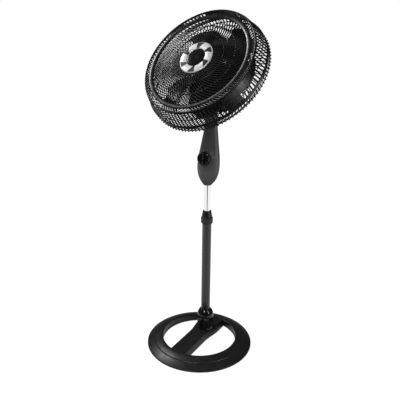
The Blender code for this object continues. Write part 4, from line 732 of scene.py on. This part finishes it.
def drum_radius(forward):
    """The drum widens towards the seam along a shallow arc."""
    share = np.clip((RIM_FORWARD - forward) / (RIM_FORWARD - SEAM_BACK), 0.0, 1.0)
    return RIM_RADIUS - 0.0012 + (SEAM_WIRE - RIM_RADIUS + 0.0012) * share ** 0.9


def front_cage():
    """Front half of the cage: hub plate, curved ribs, thin rings, smooth band, rim, drum and seam."""
    radius = np.linspace(0.0560, BAND_INNER + 0.0030, 30)
    share = np.clip((radius - GRILLE_HUB) / (BAND_INNER - GRILLE_HUB), 0.0, 1.0)
    lean = FRONT_LEAN * share ** 1.4
    spokes = ribs(GRILLE_RIBS, radius, front_rise(radius) - 0.0010, lean, bar_section(0.0027, 0.0046))
    piece("front_ribs", *spokes, "head", CAGE, ["front_grille"])
    rings = [hoop(r, float(front_rise(r)) - 0.0012, 0.0024, 0.0036) for r in THIN_RINGS]
    hub = rounded([(0.0, HUB_FORWARD + 0.0012), (GRILLE_HUB, HUB_FORWARD + 0.0012),
                   (0.0632, HUB_FORWARD - 0.0004),
                   (0.0632, HUB_FORWARD - 0.0040), (0.0606, HUB_FORWARD - 0.0044),
                   (GRILLE_HUB, HUB_FORWARD - 0.0016), (0.0, HUB_FORWARD - 0.0016)], 0.0008, 3)
    points, faces = joined(rings + [turned(hub, 120, HEAD)])
    piece("front_rings", points, faces, "head", CAGE, ["front_grille"])
    smooth_band()
    rim_and_slots()
    drum()


def smooth_band():
    """Wide glossy band: an oval section that leans back towards the hub."""
    turn = math.tau * np.arange(28) / 28
    middle, half = 0.5 * (BAND_INNER + BAND_OUTER), 0.5 * (BAND_OUTER - BAND_INNER)
    across = np.sign(np.cos(turn)) * np.abs(np.cos(turn)) ** 0.85
    height = np.sin(turn)
    radius = middle + half * across
    forward = HUB_FORWARD - 0.0122 + 0.0012 * across + np.where(height > 0, 0.0034, 0.0026) * height
    points, faces = turned(np.stack([radius, forward], -1), 240, HEAD)
    piece("front_band", points, faces, "head", CAGE, ["front_grille"])


def rim_and_slots():
    """Short ribs outside the band, their closed stretches, and the rounded rim."""
    slot_end = RIM_RADIUS - 0.0040
    radius = np.linspace(BAND_OUTER - 0.0020, slot_end, 6)
    forward = HUB_FORWARD - 0.0128 + 0.0022 * (radius - BAND_OUTER) / (slot_end - BAND_OUTER)
    slots = ribs(SLOT_RIBS, radius, forward, 0.9 * (radius - BAND_OUTER) / BAND_OUTER,
                 bar_section(0.0028, 0.0034))
    closed = []
    for turn in (0.0, 120.0, 240.0):
        angle = np.radians(turn + np.linspace(*SLOT_STOP, 14))[None]
        place = polar(radius[:, None], angle, (forward + 0.0006)[:, None])
        closed.append(walled(HEAD.world(place),
                             HEAD.world((place - [0.0, 0.0, 0.0022]))))
    rim = rounded([(RIM_RADIUS - 0.0064, RIM_FORWARD - 0.0030), (RIM_RADIUS - 0.0058, RIM_FORWARD - 0.0004),
                   (RIM_RADIUS - 0.0026, RIM_FORWARD + 0.0004), (RIM_RADIUS - 0.0003, RIM_FORWARD - 0.0018),
                   (RIM_RADIUS, RIM_FORWARD - 0.0100), (RIM_RADIUS - 0.0026, RIM_FORWARD - 0.0100),
                   (RIM_RADIUS - 0.0030, RIM_FORWARD - 0.0044)], 0.0018, 4)
    points, faces = joined([slots, turned(rim, 240, HEAD)] + closed)
    piece("front_rim", points, faces, "head", CAGE, ["front_grille"])


def drum():
    """Drum: slats, a ring at half depth, solid panels with raised bars, and the seam's band."""
    forward = np.linspace(RIM_FORWARD - 0.0080, SEAM_BACK + 0.0060, 16)
    radius = drum_radius(forward)
    lean = DRUM_LEAN * (RIM_FORWARD - forward)
    slats = ribs(DRUM_SLATS, radius, forward, lean, bar_section(0.0054, 0.0030), depth="normal")
    piece("drum_slats", *slats, "head", CAGE, ["front_grille"])
    middle = 0.5 * (RIM_FORWARD + SEAM_BACK)
    parts = [hoop(float(drum_radius(middle)) + 0.0004, middle, 0.0022, 0.0022, 200)]
    seam = rounded([(SEAM_RADIUS, SEAM_BACK), (SEAM_RADIUS, SEAM_BACK + 0.0098),
                    (SEAM_RADIUS - 0.0014, SEAM_BACK + 0.0112), (SEAM_RADIUS - 0.0028, SEAM_BACK + 0.0098),
                    (SEAM_RADIUS - 0.0028, SEAM_BACK)], 0.0006, 3)
    parts.append(turned(seam, 240, HEAD))
    piece("drum_rings", *joined(parts), "head", CAGE, ["front_grille"])
    front, back = RIM_FORWARD - 0.0060, SEAM_BACK + 0.0080
    panels = []
    for edge in PANEL_EDGES:
        panels.append(drum_panel(edge, edge + HALF_PANEL, front, middle, 0.0))
        panels.append(drum_panel(edge - FULL_PANEL, edge, front, back, -0.0008))
        for turn in (-15.5, -FULL_PANEL, -11.5, -6.0, 0.0):
            panels.append(drum_bar(edge + turn, front - 0.0010, back))
        panels.append(drum_bar(edge + HALF_PANEL, front - 0.0010, middle))
    piece("drum_panels", *joined(panels), "head", CAGE, ["front_grille"])


def drum_panel(first, last, front, back, offset):
    """Solid stretch of the drum's surface between two angles and two depths."""
    forward = np.linspace(front, back, 8)[:, None]
    angle = np.radians(np.linspace(first, last, 24))[None]
    radius = drum_radius(forward) + offset
    outer = HEAD.world(polar(radius + 0.0004, angle, forward))
    inner = HEAD.world(polar(radius - 0.0014, angle, forward))
    return walled(outer, inner)


def drum_bar(degrees, front, back):
    """Straight raised bar on the drum."""
    forward = np.linspace(front, back, 8)
    points, faces = ribs(1, drum_radius(forward) + 0.0002, forward, np.full(8, math.radians(degrees)),
                         bar_section(0.0016, 0.0026), depth="normal")
    return points, faces


def rear_cage():
    """Rear half of the cage: mounting plate, ribs with teeth at the corner, rings and the seam's band."""
    ring = SEAM_RADIUS - 0.0016
    wall = REAR_RING + 0.0012
    span = np.linspace(0.0, 1.0, 30)
    radius = 0.0740 + (ring - 0.0740) * span ** 0.85
    share = np.clip((radius - 0.078) / (ring - 0.078), 0.0, 1.0)
    forward = PLATE_FORWARD + (wall - 0.0040 - PLATE_FORWARD) * share ** 3.4
    climb = np.linspace(0.0, 1.0, 7)
    radius = np.concatenate([radius[:-1], ring + 0.0 * climb])
    forward = np.concatenate([forward[:-1], wall - 0.0030 + (SEAM_BACK - 0.0024 - wall + 0.0030) * climb])
    lean = REAR_LEAN * np.clip((radius - 0.080) / (ring - 0.080), 0.0, 1.0) ** 1.3
    flat = ribs(REAR_RIBS, radius[:30], forward[:30], lean[:30], bar_section(0.0034, 0.0030),
                depth="normal")
    upright = ribs(REAR_RIBS, radius[28:], forward[28:], lean[28:], bar_section(0.0026, 0.0030),
                   depth="normal")
    piece("rear_ribs", *joined([flat, upright]), "head", CAGE, ["rear_grille"])
    tooth = np.linspace(0.0, 1.0, 6)
    teeth = ribs(REAR_RIBS, ring - 0.0010 + (TOOTH + 0.0020) * tooth, wall - 0.0026 + 0.0010 * tooth,
                 np.full(6, REAR_LEAN), bar_section(0.0034, 0.0044))
    plate = rounded([(0.0230, PLATE_FORWARD + 0.0013), (0.0780, PLATE_FORWARD + 0.0013),
                     (0.0790, PLATE_FORWARD - 0.0030), (0.0765, PLATE_FORWARD - 0.0030),
                     (0.0755, PLATE_FORWARD - 0.0013), (0.0230, PLATE_FORWARD - 0.0013)], 0.0006, 3)
    seam_low = SEAM_BACK - 0.0008
    seam = rounded([(SEAM_RADIUS, seam_low), (SEAM_RADIUS - 0.0028, seam_low),
                    (SEAM_RADIUS - 0.0028, seam_low - 0.0026), (SEAM_RADIUS - 0.0012, seam_low - 0.0034),
                    (SEAM_RADIUS, seam_low - 0.0026)], 0.0006, 3)
    parts = [teeth, turned(plate, 120, HEAD), turned(seam, 240, HEAD),
             hoop(ring + 0.0002, wall - 0.0012, 0.0032, 0.0034, 240),
             hoop(ring - 0.0120, float(np.interp(ring - 0.0120, radius[:29], forward[:29])), 0.0024, 0.0028,
                  240),
             hoop(0.1254, PLATE_FORWARD + 0.0006, 0.0028, 0.0032),
             hoop(0.1790, PLATE_FORWARD + 0.0062, 0.0026, 0.0030)]
    piece("rear_rings", *joined(parts), "head", CAGE, ["rear_grille"])


def clip_pieces():
    """Snap clips over the seam: a plate that follows the rim, with a thumb tab that stands out."""
    for index in range(3):
        node = "grille_clip_" + str(index)
        middle = node_points(node, HEAD).mean(0)
        turn = math.atan2(middle[1], middle[0])
        low, high, _ = node_span(node, HEAD)
        along = np.linspace(low, high, 14)[:, None]
        angle = turn + np.linspace(-0.046, 0.046, 20)[None]
        side = np.minimum(np.minimum(angle - angle.min(), angle.max() - angle) * 0.24,
                          np.minimum(along - low, high - along))
        rise = 0.0012 * ease(side / 0.0015)
        tab = 0.0013 * ease((along - high + 0.008) / 0.002) * ease((high - 0.001 - along) / 0.0015)
        tab = tab * ease((0.025 - np.abs(angle - turn)) / 0.004)
        outer = polar(SEAM_RADIUS + 0.0006 + rise + tab, angle, along)
        inner = polar(SEAM_RADIUS + 0.0003 + 0.0 * angle, angle, along)
        points, faces = walled(HEAD.world(outer), HEAD.world(inner))
        piece("clip_" + str(index), points, faces, "head", SATIN, [node])


def badge_pieces():
    """Silver ring, its six slanting dark marks and the plain disc in the middle."""
    low, high, radius = node_span("badge_ring", HEAD)
    _, disc_high, disc_radius = node_span("badge_disc", HEAD)
    crest = high - 0.0004
    outline = rounded([(radius, low), (radius, low + 0.0022), (radius - 0.0030, crest - 0.0006),
                       (0.5 * (radius + disc_radius), crest + 0.0003),
                       (disc_radius + 0.0026, crest - 0.0004),
                       (disc_radius + 0.0004, crest - 0.0022), (disc_radius + 0.0004, low)], 0.0016, 5)
    piece("silver_ring", *turned(outline, 160, HEAD), "head", SILVER, ["badge_ring"])
    parts = []
    for index in range(BADGE_MARKS):
        along = np.linspace(0.0, 1.0, 18)[:, None]
        across = np.linspace(0.0, 1.0, 12)[None]
        reach = disc_radius + 0.0024 + (radius - disc_radius - 0.0062) * along
        lead = MARK_LEAD + 360.0 / BADGE_MARKS * index - 2.0 * along
        width = MARK_WIDTH[0] + (MARK_WIDTH[1] - MARK_WIDTH[0]) * along
        angle = np.radians(lead - width * across)
        bow = 0.0003 * (1.0 - (2.0 * along - 1.0) ** 2)
        top = crest - 0.00005 + bow + 0.0 * angle
        outer = HEAD.world(polar(reach, angle, top + 0.00025))
        inner = HEAD.world(polar(reach, angle, top - 0.0012))
        parts.append(walled(outer, inner))
    piece("badge_marks", *joined(parts), "head", MARK, (), "badge_silver")
    outline = rounded([(0.0, disc_high), (disc_radius * 0.5, disc_high - 0.0002),
                       (disc_radius - 0.0030, disc_high - 0.0008),
                       (disc_radius - 0.0012, disc_high - 0.0016),
                       (disc_radius - 0.0008, disc_high - 0.0010),
                       (disc_radius, disc_high - 0.0014), (disc_radius, low), (0.0, low)], 0.0006, 4)
    piece("centre_disc", *turned(outline, 120, HEAD), "head", GLOSS, ["badge_disc"])


# ---------------------------------------------------------------- blade
def blade_pieces():
    """Hub cup and six blades: a twisted plate z = rise * s that sweeps forward with the radius."""
    hub_back, _, tip = node_span("fan_blade", HEAD)
    top = hub_back + HUB_LENGTH
    hub = BLADE_HUB
    outline = rounded([(BOLT_BORE, top), (hub - 0.0040, top), (hub, top - 0.0040), (hub, hub_back),
                       (hub - 0.0026, hub_back), (hub - 0.0030, top - 0.0040), (0.0120, top - 0.0044),
                       (0.0120, hub_back + 0.0060), (BOLT_BORE, hub_back + 0.0060)], 0.0030, 5)
    parts = [turned(outline, 120, HEAD)]
    share = np.linspace(0.0, 1.0, 26)[:, None]
    part = np.linspace(-0.5, 0.5, 22)[None]
    widest = np.sin(math.pi * np.minimum(1.0, 1.1 * share))
    span = math.radians(BLADE_SPAN) * (0.68 + 0.36 * widest + 0.10 * share)
    sweep = math.radians(BLADE_SWEEP) * share ** 1.5
    rise = BLADE_RISE - 0.0060 * share
    middle = hub_back + HUB_LENGTH / 2 + rise * part * (1.0 - 0.35 * np.abs(part))
    taper = np.minimum(1.0, 0.25 + 6.0 * (0.5 - np.abs(part))) * np.minimum(1.0, 0.25 + 9.0 * (1.0 - share))
    for index in range(BLADES):
        angle = math.radians(BLADE_TURN + 360.0 / BLADES * index) + sweep + span * part
        reach = hub - 0.0015 + (tip - hub + 0.0015) * share
        reach = reach - 0.018 * ease((share - 0.7) / 0.3) * np.abs(2.0 * part) ** 4
        grids = []
        for side in (0.5, -0.5):
            height = middle + side * BLADE_THICKNESS * taper
            grids.append(HEAD.world(polar(reach, angle, height)))
        parts.append(walled(*grids))
    piece("blades", *joined(parts), "rotor", BLADE, ["fan_blade"], smooth=50.0)
    base, front, reach = node_span("blade_nut", HEAD)
    nose = np.linspace(0.0, math.pi / 2, 12)
    outer = np.stack([reach * np.cos(nose) ** 0.8, base + 0.0050 + (front - base - 0.0050) * np.sin(nose)],
                     -1)
    back = [(0.0, base + 0.0125), (BOLT_BORE, base + 0.0125)]
    outline = np.concatenate([[(BOLT_BORE, base), (reach, base)], outer, back])
    piece("spinner", *turned(outline, 72, HEAD), "rotor", GLOSS, ["blade_nut"])


# ---------------------------------------------------------------- motor cover and head fittings
def cover_shell():
    """Motor cover: a cylinder closed by a quarter-ellipse dome, with cooling slots and a mouth below."""
    low, high, radius = node_span("motor_cover", HEAD)
    mouth_low, mouth_high = COVER_MOUTH
    depth, wall = COVER_DOME, COVER_WALL
    stretches = ((high, mouth_high, 8), (mouth_high, mouth_low, 24), (mouth_low, low + depth, 4))
    straight = np.concatenate([np.linspace(*stretch) for stretch in stretches])
    straight = np.unique(np.round(straight, 6))[::-1]
    bend = np.linspace(0.0, math.pi / 2, 16)[1:]
    reach = np.concatenate([np.full(len(straight), radius), radius * np.cos(bend)])
    forward = np.concatenate([straight, low + depth * (1.0 - np.sin(bend))])
    inner_reach = np.maximum(0.0, reach - wall * np.clip(reach / radius * 1.2, 0.0, 1.0))
    inner_forward = np.concatenate([straight, low + depth - (depth - wall) * np.sin(bend)])
    angle = math.tau * np.arange(144) / 144
    columns = np.degrees((angle + math.tau / 288 + math.pi / 2) % math.tau)
    from_bottom = np.minimum(columns, 360.0 - columns)[None]
    middle = 0.5 * (forward[1:] + forward[:-1])[:, None]
    keep = ~((from_bottom < MOUTH_HALF) & (middle < mouth_high) & (middle > mouth_low))
    row = np.arange(len(forward) - 1)[:, None]
    vents = (forward[:-1, None] < low + 0.0290) & (forward[:-1, None] > low + 0.0045)
    band = (np.arange(144)[None] % 6 < 2) & (row % 20 != 19)
    keep &= ~(vents & band)
    outer = polar(reach[:, None], angle[None], forward[:, None])
    inner = polar(inner_reach[:, None], angle[None], inner_forward[:, None])
    points, faces = walled(HEAD.world(outer),
                           HEAD.world(inner), keep, True)
    piece("cover_shell", points, faces, "head", SATIN, ["motor_cover"])
    bead = hoop(radius + 0.0001, float(high) - 0.0100, 0.0010, 0.0016, 144)
    piece("cover_bead", *bead, "head", SATIN, (), "black_plastic")


def pull_knob():
    """Pull knob of the swing gear: a waisted stem and a domed, ribbed head."""
    joint = JOINTS["swing_knob_pull"]
    middle = node_points("swing_knob").mean(0)
    axis = np.array(joint["axis"], float)
    right = np.cross(HEAD.turn[:, 2], axis)
    place = Place(middle - axis * (middle @ axis), right, np.cross(axis, right), axis)
    points = node_points("swing_knob", place)
    right, up = 0.5 * (points[:, :2].min(0) + points[:, :2].max(0))
    place = place.shifted(right, up)
    low, high, radius = node_span("swing_knob", place)
    outline = rounded([(0.0, high), (0.0058, high), (radius, high - 0.0026), (radius, high - 0.0052),
                       (0.0052, high - 0.0088), (0.0050, high - 0.0125), (0.0030, high - 0.0125),
                       (0.0030, low),
                       (0.0, low)], 0.0016, 5)
    piece("pull_cap", *turned(outline, 64, place), "pull_knob", GLOSS, ["swing_knob"])


def tilt_fittings():
    """Lobed hand nut and the domed head of the tilt bolt."""
    pivot = JOINTS["tilt"]["pos_m"]
    place = Place(pivot, (0, 1, 0), (0, 0, 1), (1, 0, 0))
    low, high, radius = node_span("tilt_hand_nut", place)
    angle = math.tau * np.arange(120) / 120
    lobes = radius - 0.0016 + 0.0016 * np.cos(6 * angle)
    stations = np.array([(high, 0.0040, 1.0), (high, 0.0, 1.0), (high - 0.0006, -0.0010, 0.0),
                         (low + 0.0040, -0.0008, 0.0),
                         (low + 0.0012, 0.0002, 0.0), (low, 0.0016, 0.0)])
    rows = []
    for forward, inset, bore in stations:
        reach = np.full(120, BOLT_BORE + inset) if bore else lobes - 0.0012 - inset
        rows.append(np.stack([reach * np.cos(angle), reach * np.sin(angle), np.full(120, forward)], -1))
    rows.append(np.stack([BOLT_BORE * np.cos(angle), BOLT_BORE * np.sin(angle), np.full(120, low)], -1))
    points = np.array(rows)
    piece("hand_nut_cap", place.world(points.reshape(-1, 3)), grid_faces(len(rows), 120, True, True),
          "hand_nut",
          SATIN, ["tilt_hand_nut"])
    low, high, radius = node_span("tilt_bolt", place)
    shank = 0.0040
    outline = rounded([(0.0, high), (0.0045, high - 0.0004), (radius, high - 0.0024),
                       (radius, high - 0.0049),
                       (shank, high - 0.0049), (shank, low), (0.0, low)], 0.0010, 4)
    piece("bolt_head", *turned(outline, 48, place), "neck", STEEL, ["tilt_bolt"])


def screw_heads():
    """Pan-head screws with a cross recess: height = dome - cross, on a disc of rings."""
    for index in (0, 1):
        node = "neck_screw_" + str(index)
        low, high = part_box(node)
        middle = 0.5 * (low + high)
        place = Place((middle.x, low.y, middle.z), (-1, 0, 0), (0, 0, 1), (0, 1, 0))
        radius, tall = 0.5 * (high.x - low.x), high.y - low.y
        rings = radius * np.linspace(0.0, 1.0, 15)[:, None]
        angle = math.tau * np.arange(64)[None] / 64
        right, up = rings * np.cos(angle), rings * np.sin(angle)
        dome = tall * (1.0 - 0.55 * (rings / radius) ** 4)
        slot = np.minimum(np.abs(right), np.abs(up)) < 0.00045
        long = np.maximum(np.abs(right), np.abs(up)) < 0.60 * radius
        height = dome - 0.0009 * (slot & long) + 0.0 * angle
        top = np.stack([right, up, height], -1)
        foot = np.stack([radius * np.cos(angle), radius * np.sin(angle), 0.0 * angle], -1)
        middle_foot = np.zeros((1, 64, 3))
        points = np.concatenate([top, foot, middle_foot])
        piece("screw_" + str(index), place.world(points.reshape(-1, 3)),
              grid_faces(len(points), 64, True, True), "neck",
              STEEL, [node])


# ---------------------------------------------------------------- stage
SOFTBOXES = (                   # name, place, aim, width, height, power
    ("high_left", (-2.00, -0.10, 2.50), (0.0, 0.0, 0.90), 0.70, 0.70, 30.0),
    ("front_high", (0.20, -2.30, 2.40), (0.0, 0.0, 0.60), 0.70, 0.40, 14.0),
    ("right_side", (1.90, -0.20, 1.20), (0.0, 0.0, 0.80), 0.30, 1.40, 10.0),
)
OVERHEAD_POWER = 1.2
OVERHEAD_SPREAD = math.radians(60.0)
OVERHEAD_TURN = (math.radians(10.0), math.radians(-20.0), 0.0)
FLOOR_SIZE = 14.0
GLOW = 0.90                     # the sweep's own light, which keeps it white without hard shadows
FLOOR_BOUNCE = 0.15             # how much of it lights the object from below
SIDE_CARDS = 1.05               # white cards beside and behind, seen only as reflections
DARK_STUDIO = 0.05              # what the rest of the studio gives to reflections and shadows
CARD_EDGES = (                  # direction, where the card starts, where it is full, level before it starts
    ("facing", 0.96, 0.88, 0.0),
    ("facing", -0.86, -0.66, 0.40),
    ("height", -0.58, -0.50, 0.0),
    ("height", -0.10, -0.18, 0.0),
)


def studio_world(scene):
    """White behind the object, and for reflections: white cards low round the sides, dark elsewhere.

    A card's edge follows the cosine between the direction and the one that the front faces.
    """
    world = bpy.data.worlds.new("studio")
    scene.world = world
    world.use_nodes = True
    nodes, links = world.node_tree.nodes, world.node_tree.links
    front = Vector((CAMERA_PLACE[0], CAMERA_PLACE[1], 0.0)).normalized()
    place = nodes.new("ShaderNodeTexCoord")
    facing = nodes.new("ShaderNodeVectorMath")
    facing.operation = "DOT_PRODUCT"
    facing.inputs[1].default_value = front
    links.new(place.outputs["Generated"], facing.inputs[0])
    split = nodes.new("ShaderNodeSeparateXYZ")
    links.new(place.outputs["Generated"], split.inputs["Vector"])
    factors = []
    for output, first, last, least in CARD_EDGES:
        source = facing.outputs["Value"] if output == "facing" else split.outputs["Z"]
        edge = nodes.new("ShaderNodeMapRange")
        edge.inputs["From Min"].default_value = first
        edge.inputs["From Max"].default_value = last
        edge.inputs["To Min"].default_value = least
        links.new(source, edge.inputs["Value"])
        factors.append(edge.outputs["Result"])
    while len(factors) > 1:
        cards = nodes.new("ShaderNodeMath")
        cards.operation = "MULTIPLY"
        links.new(factors.pop(), cards.inputs[0])
        links.new(factors.pop(), cards.inputs[1])
        factors.append(cards.outputs["Value"])
    level = nodes.new("ShaderNodeMapRange")
    level.inputs["To Min"].default_value = DARK_STUDIO
    level.inputs["To Max"].default_value = SIDE_CARDS
    links.new(factors[0], level.inputs["Value"])
    dim = nodes["Background"]
    dim.inputs["Color"].default_value = (1.0, 1.0, 1.0, 1.0)
    links.new(level.outputs["Result"], dim.inputs["Strength"])
    bright = nodes.new("ShaderNodeBackground")
    bright.inputs["Color"].default_value = (1.0, 1.0, 1.0, 1.0)
    bright.inputs["Strength"].default_value = 1.0
    ray = nodes.new("ShaderNodeLightPath")
    choice = nodes.new("ShaderNodeMixShader")
    links.new(ray.outputs["Is Camera Ray"], choice.inputs["Fac"])
    links.new(dim.outputs["Background"], choice.inputs[1])
    links.new(bright.outputs["Background"], choice.inputs[2])
    links.new(choice.outputs["Shader"], nodes["World Output"].inputs["Surface"])


def studio_floor():
    """Plain white sweep, which glows for the camera and hardly lights the object."""
    flat = FLOOR_SIZE * np.stack(np.meshgrid([-0.5, 0.5], [-0.5, 0.5], indexing="ij"), -1)
    points = np.concatenate([flat, np.zeros((2, 2, 1))], -1)
    white = finish("studio_floor", (0.30, 0.30, 0.30), 0.9, 0.0, 0.01, 0.02, 60.0, 0.02)
    shader = white.node_tree.nodes["Principled BSDF"]
    shader.inputs["Emission Color"].default_value = (1.0, 1.0, 1.0, 1.0)
    nodes, links = white.node_tree.nodes, white.node_tree.links
    seen = nodes.new("ShaderNodeLightPath")
    glow = nodes.new("ShaderNodeMapRange")
    glow.inputs["To Min"].default_value = FLOOR_BOUNCE
    glow.inputs["To Max"].default_value = GLOW
    links.new(seen.outputs["Is Camera Ray"], glow.inputs["Value"])
    links.new(glow.outputs["Result"], shader.inputs["Emission Strength"])
    floor = piece("studio_floor", points, [(0, 2, 3, 1)], None, white)
    floor.visible_glossy = False


def stage():
    """Floor, soft lights and the camera."""
    studio_floor()
    scene = bpy.context.scene
    scene.view_settings.view_transform = "Standard"
    studio_world(scene)
    sky = bpy.data.lights.new("overhead", "SUN")
    sky.energy = OVERHEAD_POWER
    sky.angle = OVERHEAD_SPREAD
    overhead = bpy.data.objects.new("overhead", sky)
    overhead.rotation_euler = OVERHEAD_TURN
    overhead.visible_glossy = False
    scene.collection.objects.link(overhead)
    for name, place, aim, width, height, power in SOFTBOXES:
        light = bpy.data.lights.new(name, "AREA")
        light.shape = "RECTANGLE"
        light.size, light.size_y = width, height
        light.energy = power
        lamp = bpy.data.objects.new(name, light)
        lamp.location = place
        lamp.rotation_euler = (Vector(aim) - Vector(place)).to_track_quat("-Z", "Y").to_euler()
        lamp.visible_camera = False
        scene.collection.objects.link(lamp)
    camera = bpy.data.cameras.new("camera")
    camera.lens = CAMERA_LENS
    camera.sensor_width = 36.0
    eye = bpy.data.objects.new("camera", camera)
    eye.location = CAMERA_PLACE
    look = (Vector(CAMERA_TARGET) - Vector(CAMERA_PLACE)).to_track_quat("-Z", "Y").to_matrix()
    roll = Quaternion((0.0, 0.0, 1.0), CAMERA_ROLL)
    eye.rotation_euler = (look.to_quaternion() @ roll).to_euler()
    scene.collection.objects.link(eye)
    scene.camera = eye


stage()
dress_nodes()
base_pieces()
foot_dome()
tube_piece("column_tube", "outer_tube", "base", TUBE, 0.0015)
tube_piece("chrome_mast", "mast", "neck", CHROME, 0.0012)
collar_pieces()
neck_shell("neck_face", "neck_front", math.pi - math.radians(11.7), math.tau + math.radians(11.7))
neck_shell("neck_cover", "neck_back", math.radians(12.3), math.pi - math.radians(12.3))
front_panel()
index_marks()
knob_pieces()
screw_heads()
tilt_fittings()
front_cage()
rear_cage()
clip_pieces()
badge_pieces()
blade_pieces()
cover_shell()
pull_knob()
